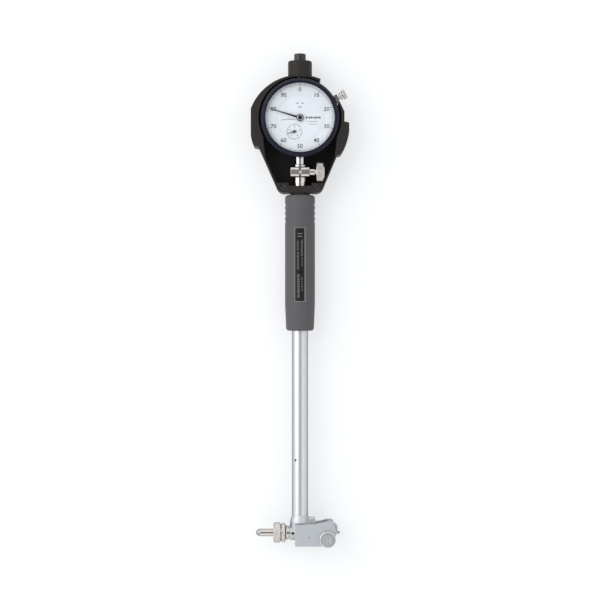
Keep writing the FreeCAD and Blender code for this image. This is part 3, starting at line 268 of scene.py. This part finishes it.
def patch(name, x_range, y_range, r_range, columns=24):
    """Plate bent to the grip: (x, y) goes to (x, y, sqrt(r^2 - x^2)) at two radii, closed all round."""
    x, y = np.meshgrid(np.linspace(*x_range, columns), y_range)
    sheets = []
    for radius in r_range:
        z = np.sqrt(radius**2 - x**2)
        sheets.append(np.stack([mm(x), mm(y) + gauge_point.y, mm(z) + stem_axis.z], axis=-1))
    total = 2 * columns
    near = np.arange(columns)
    cells = np.stack([near[:-1], near[1:], near[1:] + columns, near[:-1] + columns], axis=-1)
    edge = np.concatenate([near, near[::-1] + columns])
    following = np.roll(edge, -1)
    rim = np.stack([edge, following, following + total, edge + total], axis=-1)
    faces = np.vstack([cells[:, ::-1], cells + total, rim])
    vertices = np.concatenate([sheet.reshape(-1, 3) for sheet in sheets])
    return new_piece(name, vertices.tolist(), faces.tolist())


# ---------------------------------------------------------------- shared surface effects
def socket(group, name, kind, output=False, value=None):
    """New socket of a node group."""
    made = group.interface.new_socket(
        name=name, in_out="OUTPUT" if output else "INPUT", socket_type="NodeSocket" + kind
    )
    if value is not None:
        made.default_value = value
    return made


class Graph:
    """Short way to place nodes: call with a type, settings, and inputs by name as values or sockets."""

    def __init__(self, tree):
        self.tree = tree

    def __call__(self, kind, inputs=None, **settings):
        node = self.tree.nodes.new(kind)
        for key, value in settings.items():
            setattr(node, key, value)
        for key, value in (inputs or {}).items():
            if isinstance(value, bpy.types.NodeSocket):
                self.tree.links.new(value, node.inputs[key])
            else:
                node.inputs[key].default_value = value
        return node

    def math(self, operation, a, b=0.0, c=0.0):
        return self("ShaderNodeMath", {0: a, 1: b, 2: c}, operation=operation).outputs[0]

    def ramp(self, value, start, end, low=0.0, high=1.0, **settings):
        """Value brought from start..end to low..high."""
        inputs = {"Value": value, "From Min": start, "From Max": end, "To Min": low, "To Max": high}
        return self("ShaderNodeMapRange", inputs, **settings).outputs[0]

    def mix(self, factor, a, b):
        return self("ShaderNodeMix", {0: factor, 6: a, 7: b}, data_type="RGBA").outputs[2]

    def group(self, tree, **inputs):
        node = self.tree.nodes.new("ShaderNodeGroup")
        node.node_tree = tree
        for key, value in inputs.items():
            name = key.replace("_", " ")
            if isinstance(value, bpy.types.NodeSocket):
                self.tree.links.new(value, node.inputs[name])
            else:
                node.inputs[name].default_value = value
        return node.outputs


def make_tool_marks():
    """Fine lines left by grinding or turning: noise on Object coordinates, stretched by lines per metre."""
    tree = bpy.data.node_groups.new("tool_marks", "ShaderNodeTree")
    socket(tree, "Lines", "Vector", value=(900.0, 900.0, 900.0))
    socket(tree, "Grain", "Float", True)
    g = Graph(tree)
    given = g("NodeGroupInput")
    where = g("ShaderNodeTexCoord").outputs["Object"]
    scaled = g("ShaderNodeVectorMath", {0: where, 1: given.outputs["Lines"]}, operation="MULTIPLY").outputs[0]
    fine = g("ShaderNodeTexNoise", {"Vector": scaled, "Scale": 1.0, "Detail": 3.0, "Roughness": 0.65})
    g("NodeGroupOutput", {"Grain": fine.outputs[0]})
    return tree


def make_handling():
    """Faint haze and finger marks: two soft noises multiplied, 0 clean to 1 marked."""
    tree = bpy.data.node_groups.new("handling", "ShaderNodeTree")
    socket(tree, "Scale", "Float", value=70.0)
    socket(tree, "Haze", "Float", True)
    g = Graph(tree)
    given = g("NodeGroupInput")
    where = g("ShaderNodeTexCoord").outputs["Object"]
    broad = g("ShaderNodeTexNoise", {"Vector": where, "Scale": given.outputs["Scale"], "Detail": 4.0})
    finer = g.math("MULTIPLY", given.outputs["Scale"], 7.0)
    smear = g("ShaderNodeTexNoise", {"Vector": where, "Scale": finer, "Detail": 2.0, "Distortion": 1.2})
    product = g.math("MULTIPLY", broad.outputs[0], smear.outputs[0])
    g("NodeGroupOutput", {"Haze": g.ramp(product, 0.15, 0.42)})
    return tree


def make_broken_edges():
    """Broken edges: the rounded normal near an edge, and a mask that is 1 where it turns most."""
    tree = bpy.data.node_groups.new("broken_edges", "ShaderNodeTree")
    socket(tree, "Radius", "Float", value=0.0002)
    socket(tree, "Normal", "Vector", True)
    socket(tree, "Edge", "Float", True)
    g = Graph(tree)
    given = g("NodeGroupInput")
    bevel = g("ShaderNodeBevel", {"Radius": given.outputs["Radius"]}, samples=6).outputs[0]
    flat = g("ShaderNodeNewGeometry").outputs["Normal"]
    same = g("ShaderNodeVectorMath", {0: bevel, 1: flat}, operation="DOT_PRODUCT").outputs["Value"]
    g("NodeGroupOutput", {"Normal": bevel, "Edge": g.ramp(same, 0.995, 0.85)})
    return tree


def make_pebble():
    """Moulded or sprayed skin: small round cells over a fine noise, as a height."""
    tree = bpy.data.node_groups.new("pebble", "ShaderNodeTree")
    socket(tree, "Cells", "Float", value=1500.0)
    socket(tree, "Height", "Float", True)
    g = Graph(tree)
    given = g("NodeGroupInput")
    where = g("ShaderNodeTexCoord").outputs["Object"]
    cells = g("ShaderNodeTexVoronoi", {"Vector": where, "Scale": given.outputs["Cells"]}, feature="SMOOTH_F1")
    fine = g("ShaderNodeTexNoise", {"Vector": where, "Scale": given.outputs["Cells"], "Detail": 2.0})
    height = g.math("MULTIPLY_ADD", fine.outputs[0], 0.5, cells.outputs["Distance"])
    g("NodeGroupOutput", {"Height": height})
    return tree


tool_marks = make_tool_marks()
handling = make_handling()
broken_edges = make_broken_edges()
pebble = make_pebble()


# ---------------------------------------------------------------- finishes
def new_material(name):
    """Empty node material and its graph."""
    material = bpy.data.materials.new(name)
    material.use_nodes = True
    material.node_tree.nodes.clear()
    return material, Graph(material.node_tree)


def shade(colour, factor):
    """Colour times a factor, with full alpha."""
    return tuple(min(1.0, c * factor) for c in colour[:3]) + (1.0,)


def finish(
    name,
    colour,
    rough,
    metal=0.0,
    lines=None,
    line_depth=0.0,
    cells=None,
    cell_depth=0.0,
    edge=0.0002,
    edge_tint=1.25,
    haze=0.05,
    rim=1.0,
    **fixed,
):
    """One finish: base colour with haze, edges lightened as a painted highlight with a little wear, a painted
    shade darkening the rim, roughness with marks, fine bump.

    lines are tool marks per metre along x, y and z; cells are pebbles per metre; the depths are metres.
    edge is the radius of the broken edges; edge_tint multiplies the colour there, a painted highlight with a
    little edge wear, and rim multiplies it at grazing sight, a painted shade for dark surroundings reflected at
    the silhouette.
    """
    hazed, haze_share, edge_share = 0.86, 0.5, 0.8
    material, g = new_material(name)
    edges = g.group(broken_edges, Radius=edge)
    marks = g.group(handling, Scale=90.0)["Haze"]
    toned = g.mix(g.math("MULTIPLY", marks, haze_share), shade(colour, 1.0), shade(colour, hazed))
    # painted highlight: the colour is lightened along the broken edges, with a little edge wear
    tinted = g.mix(g.math("MULTIPLY", edges["Edge"], edge_share), toned, shade(colour, edge_tint))
    # painted shade: metals darkened at grazing sight, where dark surroundings would be reflected
    if rim < 1.0:
        facing = g("ShaderNodeLayerWeight", {"Blend": 0.5}).outputs["Facing"]
        tinted = g.mix(g.ramp(facing, 0.28, 0.62), tinted, shade(colour, rim))
    roughness = g.math("MULTIPLY_ADD", marks, haze, rough)
    normal = edges["Normal"]
    if lines is not None:
        grain = g.group(tool_marks, Lines=lines)["Grain"]
        roughness = g.math("MULTIPLY_ADD", g.math("SUBTRACT", grain, 0.5), 0.35 * rough + 0.08, roughness)
        bump = g("ShaderNodeBump", {"Height": grain, "Normal": normal, "Distance": line_depth})
        normal = bump.outputs[0]
    if cells is not None:
        height = g.group(pebble, Cells=cells)["Height"]
        bump = g("ShaderNodeBump", {"Height": height, "Normal": normal, "Distance": cell_depth})
        normal = bump.outputs[0]
    inputs = {"Base Color": tinted, "Roughness": roughness, "Normal": normal, "Metallic": metal}
    inputs.update(fixed)
    surface = g("ShaderNodeBsdfPrincipled", inputs)
    g("ShaderNodeOutputMaterial", {"Surface": surface.outputs[0]})
    return material


def make_crystal_finish():
    """Clear acrylic; it lets light for the dial straight through."""
    material, g = new_material("crystal")
    marks = g.group(handling, Scale=60.0)["Haze"]
    roughness = g.math("MULTIPLY_ADD", marks, 0.02, 0.005)
    clear = g(
        "ShaderNodeBsdfPrincipled",
        {
            "Base Color": (0.97, 0.985, 1.0, 1),
            "Roughness": roughness,
            "Transmission Weight": 1.0,
            "IOR": 1.47,
        },
    )
    path = g("ShaderNodeLightPath")
    passing = g.math("MAXIMUM", path.outputs["Is Shadow Ray"], path.outputs["Is Diffuse Ray"])
    through = g("ShaderNodeBsdfTransparent", {"Color": (1.0, 1.0, 1.0, 1)})
    mixed = g("ShaderNodeMixShader", {0: passing, 1: clear.outputs[0], 2: through.outputs[0]})
    g("ShaderNodeOutputMaterial", {"Surface": mixed.outputs[0]})
    return material


ALL_WAYS = (2600.0, 2600.0, 2600.0)
ROUND_STEM = (60.0, 5200.0, 60.0)
DULL = {"Specular IOR Level": 0.2}

BRUSHED = dict(metal=1.0, lines=ALL_WAYS)
GROUND = dict(metal=1.0, lines=ROUND_STEM)
INK = dict(cells=3000.0, cell_depth=3e-6, edge_tint=1.0, **DULL)
JET = (0.012, 0.012, 0.013)

# edge_tint above 1 paints a highlight on the edges; rim below 1 paints shade at grazing sight
finishes = {
    "satin_steel": finish(
        "satin_steel", (0.62, 0.65, 0.685), 0.5, line_depth=2e-6, edge=0.0003, rim=0.6, **BRUSHED
    ),
    "bright_steel": finish(
        "bright_steel", (0.90, 0.91, 0.92), 0.3, line_depth=1e-6, edge=0.00025, rim=0.6, **BRUSHED
    ),
    "ground_steel": finish("ground_steel", (0.70, 0.72, 0.74), 0.33, line_depth=1.5e-6, rim=0.38, **GROUND),
    "hard_steel": finish("hard_steel", (0.70, 0.70, 0.715), 0.12, line_depth=1e-6, rim=0.6, **GROUND),
    "spring_steel": finish(
        "spring_steel", (0.42, 0.42, 0.44), 0.3, line_depth=1e-6, edge=0.0001, **BRUSHED
    ),
    "black_steel": finish(
        "black_steel", (0.03, 0.028, 0.027), 0.4, lines=ALL_WAYS, line_depth=1e-6, edge=0.00015
    ),
    "nickel_plate": finish("nickel_plate", (0.68, 0.64, 0.61), 0.18, line_depth=1.5e-6, rim=0.5, **BRUSHED),
    "carbide": finish("carbide", (0.42, 0.43, 0.45), 0.22, line_depth=1e-6, rim=0.7, **BRUSHED),
    "brass": finish("brass", (0.78, 0.60, 0.30), 0.26, line_depth=1.5e-6, **BRUSHED),
    "grip_plastic": finish(
        "grip_plastic",
        (0.102, 0.098, 0.104),
        0.55,
        cells=2400.0,
        cell_depth=4e-5,
        edge=0.0004,
        edge_tint=1.1,
        **DULL,
    ),
    "label_black": finish("label_black", JET, 0.35, cells=3000.0, cell_depth=5e-6, **DULL),
    "black_paint": finish(
        "black_paint",
        (0.025, 0.0215, 0.020),
        0.5,
        cells=1900.0,
        cell_depth=3e-5,
        edge=0.0005,
        edge_tint=1.5,
        **DULL,
    ),
    "black_case": finish(
        "black_case", JET, 0.4, cells=2600.0, cell_depth=1e-5, edge=0.0003, edge_tint=2.0, **DULL
    ),
    "navy_bezel": finish(
        "navy_bezel", (0.0095, 0.0095, 0.024), 0.22, cells=2600.0, cell_depth=4e-6, edge_tint=2.2, **DULL
    ),
    "crystal": make_crystal_finish(),
    "dial_white": finish(
        "dial_white", (0.83, 0.865, 0.905), 0.5, cells=4000.0, cell_depth=3e-6, edge_tint=1.0, **DULL
    ),
    "pointer_black": finish("pointer_black", JET, 0.4, cells=3000.0, cell_depth=4e-6, **DULL),
    "cap_plastic": finish(
        "cap_plastic", (0.022, 0.022, 0.0235), 0.3, cells=2200.0, cell_depth=6e-6, edge=0.0004, edge_tint=2.4
    ),
}
print_black = finish("print_black", JET, 0.5, **INK)
print_grey = finish("print_grey", (0.16, 0.165, 0.18), 0.5, **INK)
print_silver = finish("print_silver", (0.17, 0.17, 0.17), 0.4, **INK)
satin_cap = finish("satin_cap", (0.80, 0.80, 0.82), 0.5, line_depth=1e-6, **BRUSHED)


def dress(piece, body, slot, *replaced, material=None):
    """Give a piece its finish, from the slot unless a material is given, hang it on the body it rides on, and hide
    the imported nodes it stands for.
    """
    piece.data.materials.clear()
    piece.data.materials.append(material or finishes[slot])
    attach(piece, body)
    if replaced:
        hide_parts(*replaced)


for node_name, node in nodes.items():
    node.data.materials.clear()
    node.data.materials.append(finishes[slot_of[node_name]])


# ---------------------------------------------------------------- knurled screws and nut
def crossed_knurl(count, pitch, depth, bands):
    """Diamond knurl inside the bands (low, high), the lower of two crossing sets of grooves.

    rise = depth * (min(1.6 d, 1) - 1), where d = min(wave(u + s/pitch), wave(u - s/pitch)) and u counts
    the diamonds round the piece.
    """

    def rise(s, r, angle):
        u = count * angle / TAU
        diamonds = np.minimum(wave(u + s / pitch), wave(u - s / pitch))
        inside = sum(window(s, low, high, 0.35) for low, high in bands)
        return (np.minimum(diamonds * 1.6, 1.0) - 1.0) * depth * inside

    return rise


def straight_knurl(count, depth, low, high):
    """Straight knurl, grooves along the axis inside one band: rise = depth * (min(1.8 wave(u), 1) - 1)."""

    def rise(s, r, angle):
        ridge = np.minimum(wave(count * angle / TAU) * 1.8, 1.0)
        return (ridge - 1.0) * depth * window(s, low, high, 0.3)

    return rise


def beyond(radius, rise):
    """The rise where the profile stands farther out than the radius, and none elsewhere."""

    def limited(s, r, angle):
        return np.where(r > radius, rise(s, r, angle), 0)

    return limited


def make_lock_nut():
    """Lock nut of the anvil: two diamond-knurled bands, a groove between them and a plain neck."""
    low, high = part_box("anvil_lock_nut")
    left = (low.x - gauge_point.x) * 1000
    right = (high.x - gauge_point.x) * 1000
    big, small, neck, groove = 7.45, 7.1, 5.1, 6.3
    rod, bore = 2.9, 4.1
    waist = -14.0
    profile = eased(
        [
            (left + 0.5, rod),
            (left + 0.5, 4.6, 0.3),
            (left, 5.2, 0.3),
            (left, big - 0.7),
            (left + 0.7, big),
            (waist - 0.7, big),
            (waist - 0.25, groove),
            (waist + 0.3, groove),
            (waist + 0.7, small),
            (waist + 2.7, small),
            (waist + 4.0, neck, 0.5),
            (right - 0.3, neck),
            (right, neck - 0.3),
            (right, bore),
            (right - 1.0, bore),
            (right - 1.0, rod),
        ],
        0.18,
        closed=True,
    )
    profile = spaced(np.vstack([profile, profile[:1]]), 0.14)[:-1]
    bands = ((left + 0.7, waist - 0.7), (waist + 0.7, waist + 2.8))
    knurl = crossed_knurl(44, 1.06, 0.34, bands)
    outer = beyond(groove, knurl)
    piece = lathe("lock_nut", profile, (1, 0, 0), gauge_point, 352, outer, closed=True, sharp=50)
    dress(piece, "lock_nut", "nickel_plate", "anvil_lock_nut")


def make_barrel_half(side):
    """One half of the clamp barrel: squarish, |y|^n + |z|^n = R^n, with fine ridges round it.

    side is -1 for the left half and 1 for the right one; near and far are measured from the slit's middle.
    """
    square = 3.4
    radius, near, far = 4.0, 0.66, 6.8
    ridge_depth, ridge_pitch, plain_end = 0.05, 0.72, 0.9
    profile = eased([(near, 0.0), (near, radius), (far, radius), (far, 0.0)], 0.3)

    def rise(s, r, angle):
        power = np.abs(np.cos(angle)) ** square + np.abs(np.sin(angle)) ** square
        ridged = window(s, near + plain_end, far - plain_end, 0.3)
        ridges = ridge_depth * (wave(s / ridge_pitch) - 1.0) * ridged
        return (r + ridges) * power ** (-1 / square) - r

    name = "barrel_right" if side > 0 else "barrel_left"
    piece = lathe(name, spaced(profile, 0.12), (side, 0, 0), lock_screw, 128, rise)
    dress(piece, "frame", "nickel_plate")


def make_thumb_screw():
    """Thumb screw of the stem clamp: shank, plain collar and a straight-knurled head with a broad chamfer."""
    low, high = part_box("stem_clamp_screw")
    shank, collar, neck, head, dish = 1.5, 3.05, 2.6, 7.05, 3.0
    start, end = low.x * 1000, high.x * 1000
    collar_start, collar_end, head_start = 6.85, 10.6, 11.8
    dish_depth = 0.35
    profile = eased(
        [
            (start, 0.0),
            (start, shank - 0.3),
            (start + 0.3, shank),
            (collar_start, shank),
            (collar_start, collar - 0.2),
            (collar_start + 0.35, collar),
            (collar_end, collar),
            (collar_end + 0.5, neck),
            (head_start, neck),
            (head_start, head - 0.5),
            (head_start + 0.5, head),
            (end - 1.2, head),
            (end, head - 1.2),
            (end, dish + 0.4, 0.3),
            (end - dish_depth, dish, 0.2),
            (end - dish_depth, 0.0),
        ],
        0.22,
    )
    knurl = straight_knurl(72, 0.2, head_start + 0.3, end - 0.9)
    outer = beyond(head - 1.55, knurl)
    piece = lathe("thumb_screw", spaced(profile, 0.5), (1, 0, 0), lock_screw, 324, outer, sharp=50)
    dress(piece, "clamp_screw", "nickel_plate", "stem_clamp_screw")


def make_bezel_screw():
    """Screw of the bezel clamp: shank, neck, disc and straight-knurled knob, on the clamp's turned axis."""
    joint = next(j for j in frame["joints"] if j["name"] == "bezel_screw_turn")
    along = Vector(joint["axis"])
    place = Vector((0, dial_centre.y, joint["pos_m"][2]))
    shank, neck, head, dish = 1.3, 2.0, 3.5, 1.4
    start, head_start, end = 28.9, 33.4, 37.8
    disc_end, knob_start = head_start + 0.9, head_start + 1.7
    dish_depth = 0.25
    profile = eased(
        [
            (start, 0.0),
            (start, shank - 0.25),
            (start + 0.25, shank),
            (head_start - 0.8, shank),
            (head_start - 0.8, neck),
            (head_start, neck),
            (head_start, head - 0.5),
            (disc_end, head - 0.5),
            (disc_end, neck),
            (knob_start, neck),
            (knob_start, head - 0.3),
            (head_start + 2.0, head),
            (end - 0.5, head),
            (end, head - 0.5),
            (end, dish + 0.2, 0.2),
            (end - dish_depth, dish, 0.1),
            (end - dish_depth, 0.0),
        ],
        0.16,
    )
    knurl = straight_knurl(32, 0.2, head_start + 1.9, end - 0.4)
    outer = beyond(head - 0.8, knurl)
    piece = lathe("bezel_screw", spaced(profile, 0.4), along, place, 256, outer, sharp=50)
    dress(piece, "bezel_screw", "nickel_plate", "bezel_clamp_screw")


# ---------------------------------------------------------------- bezel, crystal and dial
def make_bezel_ring():
    """Bezel: coin edge outside, sloping rim, inner lip and the seats for dial and crystal."""
    low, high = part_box("bezel")
    back, front = low.z * 1000, high.z * 1000
    face = dial_face * 1000
    crystal_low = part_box("crystal")[0].z * 1000
    edge_z = front - 1.8
    rim, bore, window_seat, lip, dial_seat = 28.8, 26.05, 26.2, 25.2, 25.6
    dial_thickness = 0.65
    profile = eased(
        [
            (back, bore, 0.05),
            (back, rim - 0.6),
            (back + 0.6, rim),
            (edge_z - 0.3, rim),
            (edge_z, rim - 0.25),
            (front - 0.55, 27.35, 0.3),
            (front - 0.1, 26.75, 0.3),
            (front - 0.1, window_seat, 0.05),
            (crystal_low, window_seat, 0.05),
            (crystal_low, lip, 0.1),
            (face, lip, 0.05),
            (face, dial_seat, 0.05),
            (face - dial_thickness, dial_seat, 0.05),
            (face - dial_thickness, bore, 0.05),
        ],
        0.25,
        closed=True,
    )
    profile = np.vstack([profile, profile[:1]])
    coin = straight_knurl(180, 0.16, back + 0.9, edge_z - 0.7)
    outer = beyond(rim - 0.5, coin)
    piece = lathe("bezel_ring", spaced(profile, 0.9)[:-1], (0, 0, 1), dial_centre, 720, outer, True, 50)
    dress(piece, "bezel", "navy_bezel", "bezel")


def make_crystal_lens():
    """Clear window: a disc whose front rises by 0.33 * (1 - (r / edge)^2) mm, with a rounded rim."""
    low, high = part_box("crystal")
    edge = 26.15
    back, front = low.z * 1000, high.z * 1000 - 0.35
    r = np.linspace(0, edge - 0.4, 24)
    face = np.stack([front + 0.33 * (1 - (r / edge) ** 2), r], axis=1)
    rounded = edge - 0.15
    rim = np.array([(front - 0.05, rounded), (front - 0.3, edge), (back + 0.1, edge), (back, rounded)])
    under = np.array([(back, edge * 0.5), (back, 0.0)])
    piece = lathe("crystal_window", np.vstack([face, rim, under]), (0, 0, 1), dial_centre, 144)
    dress(piece, "bezel", "crystal", "crystal")


def make_crystal_retainer():
    """Snap ring that holds the window: a rounded ring between bezel and lip."""
    low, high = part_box("crystal_ring")
    back, front = low.z * 1000, high.z * 1000
    seat, crest, lip = 26.2, 25.75, 25.2
    profile = eased([(back, seat), (front, seat), (front, crest), (back + 0.1, lip)], 0.2, closed=True)
    piece = lathe("crystal_retainer", profile, (0, 0, 1), dial_centre, 192, closed=True, sharp=60)
    dress(piece, "bezel", "navy_bezel", "crystal_ring")


INK_RISE = mm(0.02)


def print_bars(name, shapes, body, ink):
    """Printed bars on the dial, carried by the body that has that part of the dial."""
    piece = prisms(name, shapes, dial_face, dial_face + INK_RISE)
    dress(piece, body, "pointer_black", material=ink)


def print_words(name, items, body, ink):
    """Printed numbers on the dial."""
    dress(words(name, items, dial_face, INK_RISE), body, "pointer_black", material=ink)


def make_dial_scale():
    """A hundred graduations on the turning ring, every fifth longer and every tenth heavier."""
    step = np.arange(100)
    tens, fives = step % 10 == 0, step % 5 == 0
    outer = 24.7
    inner = np.where(tens, 22.7, np.where(fives, 22.9, 23.2))
    half = np.where(tens, 0.2, np.where(fives, 0.17, 0.14))
    bars = ray_bars(step / 100 * TAU, inner, outer, half, dial_centre)
    print_bars("dial_scale", bars, "bezel", print_black)


def make_dial_numbers():
    """Numbers by tens, upright, on a circle inside the graduations."""
    items = []
    for ten in range(10):
        turn = ten / 10 * TAU
        radius = mm(20.1 if ten % 5 else 20.4)
        x, y = radius * math.sin(turn), dial_centre.y + radius * math.cos(turn)
        items.append((str(10 * ten), x, y, 2.9))
    print_words("dial_numbers", items, "bezel", print_black)


def make_counter_scale():
    """Twenty graduations, a ring of short bars and small numbers round the counter's hand."""
    step = np.arange(20)
    ring_radius, ring_parts, number_radius = 5.4, 60, mm(3.6)
    inner = np.where(step % 2 == 0, 4.6, 4.95)
    bars = ray_bars(step / 20 * TAU, inner, ring_radius, 0.13, counter_centre)
    round_turns = np.arange(ring_parts) / ring_parts * TAU
    ring = ray_bars(round_turns, ring_radius, ring_radius + 0.16, 0.29, counter_centre)
    print_bars("counter_scale", np.concatenate([bars, ring]), "frame", print_black)
    items = []
    for unit in range(0, 10, 2):
        turn = -unit / 10 * TAU
        x = counter_centre.x + number_radius * math.sin(turn)
        y = counter_centre.y + number_radius * math.cos(turn)
        items.append((str(unit), x, y, 1.15))
    print_words("counter_numbers", items, "frame", print_grey)


def make_dial_print():
    """Plain print on the fixed part: two dashes, a graduation value, one heavy row of bars and light ones."""
    dashes = boxes([(-1.9, 10.7, 1.7, 0.5), (1.9, 10.7, 1.7, 0.5)], dial_centre)
    print_bars("dial_dashes", dashes, "frame", print_black)
    value = [("0.01", dial_centre.x, dial_centre.y + mm(7.9), 1.3)]
    print_words("dial_value", value, "frame", print_grey)
    heavy = [(4.7 + 1.22 * i, 0.2, 0.8, 1.5 - 0.45 * (i % 3 == 1)) for i in range(9)]
    print_bars("dial_rule", boxes(heavy, dial_centre), "frame", print_black)
    light = [(-12.6 + 0.95 * i, -1.5 + 0.55 * math.sin(math.pi * i / 10), 0.6, 0.7) for i in range(10)]
    light += [(5.6 + 0.85 * i, -2.6, 0.55, 0.45) for i in range(9)]
    light += [(6.8 + 0.85 * i, -4.6, 0.55, 0.5) for i in range(7)]
    print_bars("dial_light_rules", boxes(light, dial_centre), "frame", print_grey)


def make_pointer_boss():
    """Bright cap of the main hand: a ring, a hollow and a small dome, turned about the hand's arbor."""
    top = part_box("main_pointer")[1].z * 1000
    plate, hollow = top - 0.7, top - 0.25
    edge = 2.0
    profile = eased(
        [
            (plate, 0.0),
            (plate, edge),
            (top - 0.2, edge),
            (top, edge - 0.2),
            (top, 1.35),
            (hollow, 1.2),
            (hollow, 0.75),
            (top - 0.05, 0.6),
            (top, 0.0),
        ],
        0.12,
    )
    piece = lathe("pointer_boss", profile, (0, 0, 1), dial_centre, 64, sharp=50)
    dress(piece, "pointer", "bright_steel", material=satin_cap)


# ---------------------------------------------------------------- label on the grip
# Rows of marks: first and last y from the label's middle, left and right x, pitch, length of a mark.
LABEL_ROWS = (
    (-24.0, -7.0, -2.1, -0.2, 1.25, 0.75),
    (-3.5, 9.0, -2.1, -0.7, 1.0, 0.6),
    (10.5, 17.0, -2.2, -0.8, 0.9, 0.5),
    (-19.0, -9.5, 0.9, 1.9, 0.85, 0.5),
    (-1.0, 5.0, 0.9, 1.9, 0.85, 0.5),
    (6.5, 18.0, 0.6, 2.0, 1.0, 0.6),
)


def make_label():
    """Label on the grip: light frame, black field and rows of plain marks, all bent to the grip."""
    centre = (middle("label_plate").y - gauge_point.y) * 1000
    skin = (top_of("label_plate") - stem_axis.z) * 1000 - 0.05
    half_x, half_y, border = 4.3, 27.35, 0.75
    x_range = (-half_x, half_x)
    y_range = (centre - half_y, centre + half_y)
    plate = patch("label_frame", x_range, y_range, (skin - 0.3, skin + 0.03))
    dress(plate, "frame", "label_black", "label_plate", material=print_silver)
    x_range = (border - half_x, half_x - 1.1)
    y_range = (y_range[0] + border, y_range[1] - border)
    field = patch("label_field", x_range, y_range, (skin, skin + 0.06))
    dress(field, "frame", "label_black")
    marks = []
    for row, (low, high, x0, x1, pitch, long) in enumerate(LABEL_ROWS):
        for i, y0 in enumerate(np.arange(low, high, pitch)):
            inset = 0.25 * ((i * 7 + row * 3) % 3)
            marks.append((x0 + inset * 0.6, x1 - inset * 0.4, centre + y0, centre + y0 + long))
    for y0 in (20.2, 22.2):
        marks.append((-1.6, 1.6, centre + y0, centre + y0 + 0.7))
    joined = bmesh.new()
    for x0, x1, y0, y1 in marks:
        part = patch("mark", (x0, x1), (y0, y1), (skin + 0.04, skin + 0.09), columns=4)
        joined.from_mesh(part.data)
        bpy.data.meshes.remove(part.data)
    mesh = bpy.data.meshes.new("label_marks")
    joined.to_mesh(mesh)
    joined.free()
    dress(placed("label_marks", mesh), "frame", "label_black", material=print_silver)


make_lock_nut()
make_thumb_screw()
make_barrel_half(-1)
make_barrel_half(1)
make_bezel_screw()
make_bezel_ring()
make_crystal_lens()
make_crystal_retainer()
make_dial_scale()
make_dial_numbers()
make_counter_scale()
make_dial_print()
make_pointer_boss()
make_label()


# ---------------------------------------------------------------- floor, light and camera
def make_floor():
    """Pale floor under the gauge: plain to the lamp, nearly white to the eye and in reflections."""
    half, glow = 3.0, 0.57
    corners = [(-half, -half, 0), (half, -half, 0), (half, half, 0), (-half, half, 0)]
    floor = new_piece("floor", corners, [(0, 1, 2, 3)])
    material, g = new_material("floor")
    path = g("ShaderNodeLightPath").outputs
    mirrored = g.math("MAXIMUM", path["Is Glossy Ray"], path["Is Transmission Ray"])
    seen = g.math("MAXIMUM", path["Is Camera Ray"], mirrored)
    colour = g.mix(seen, (0.8, 0.8, 0.8, 1), (0.42, 0.42, 0.42, 1))
    surface = g(
        "ShaderNodeBsdfPrincipled",
        {
            "Base Color": colour,
            "Roughness": 0.9,
            "Specular IOR Level": 0.0,
            "Emission Color": (0.97, 0.985, 1.0, 1),
            "Emission Strength": g.math("MULTIPLY", seen, glow),
        },
    )
    g("ShaderNodeOutputMaterial", {"Surface": surface.outputs[0]})
    floor.data.materials.append(material)
    floor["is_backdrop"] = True


def make_world():
    """Studio: soft walls all round, a dark gap overhead where the camera stands, dimmer near the floor.

    With the way (x, y, z) of a ray, the gap is where (x / gap_x)^2 + (y / gap_y)^2 < 1, softened outwards.
    """
    gap_x, gap_y, gap_light = 0.30, 0.34, 0.14
    world = bpy.data.worlds.new("studio")
    world.use_nodes = True
    world.node_tree.nodes.clear()
    g = Graph(world.node_tree)
    way = g("ShaderNodeSeparateXYZ", {0: g("ShaderNodeTexCoord").outputs["Generated"]}).outputs
    across = g.math("POWER", g.math("DIVIDE", way["X"], gap_x), 2.0)
    along = g.math("POWER", g.math("DIVIDE", way["Y"], gap_y), 2.0)
    reach = g.math("SQRT", g.math("ADD", across, along))
    outside = g.ramp(reach, 0.5, 1.7, interpolation_type="SMOOTHSTEP")
    height = g.ramp(way["Z"], 0.0, 0.55, 0.72, 1.2)
    left = g.ramp(way["X"], 0.5, -0.5, 0.9, 1.02)
    wall = g.math("MULTIPLY", height, left)
    strength = g("ShaderNodeMix", {0: outside, 2: gap_light, 3: wall}).outputs[0]
    seen = g("ShaderNodeLightPath").outputs["Is Camera Ray"]
    strength = g("ShaderNodeMix", {0: seen, 2: strength, 3: 1.0}).outputs[0]
    background = g("ShaderNodeBackground", {"Color": (0.985, 0.99, 1.0, 1), "Strength": strength})
    g("ShaderNodeOutputWorld", {"Surface": background.outputs[0]})
    bpy.context.scene.world = world


def make_lamp(name, place, size, power):
    """Square soft light aimed at the middle of the gauge."""
    lamp = bpy.data.lights.new(name, "AREA")
    lamp.shape = "RECTANGLE"
    lamp.size, lamp.size_y = size
    lamp.energy = power
    holder = bpy.data.objects.new(name, lamp)
    holder.location = place
    holder.rotation_euler = (-Vector(place)).to_track_quat("-Z", "Y").to_euler()
    bpy.context.scene.collection.objects.link(holder)


def make_camera():
    """Straight above the gauge and far back, so that the gauge fills a set share of the picture's height."""
    low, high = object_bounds()
    centre = (low + high) / 2
    lens, sensor, filled = 100.0, 36.0, 0.82
    reach = (high.y - low.y) / filled * lens / sensor
    data = bpy.data.cameras.new("camera")
    data.lens = lens
    data.sensor_width = sensor
    camera = bpy.data.objects.new("camera", data)
    camera.location = (0.0, centre.y, centre.z + reach)
    bpy.context.scene.collection.objects.link(camera)
    bpy.context.scene.camera = camera


make_floor()
make_world()
make_lamp("key", (-0.95, 0.4, 0.85), (1.2, 1.2), 5.9)
make_camera()
bpy.context.scene.view_settings.view_transform = "Standard"
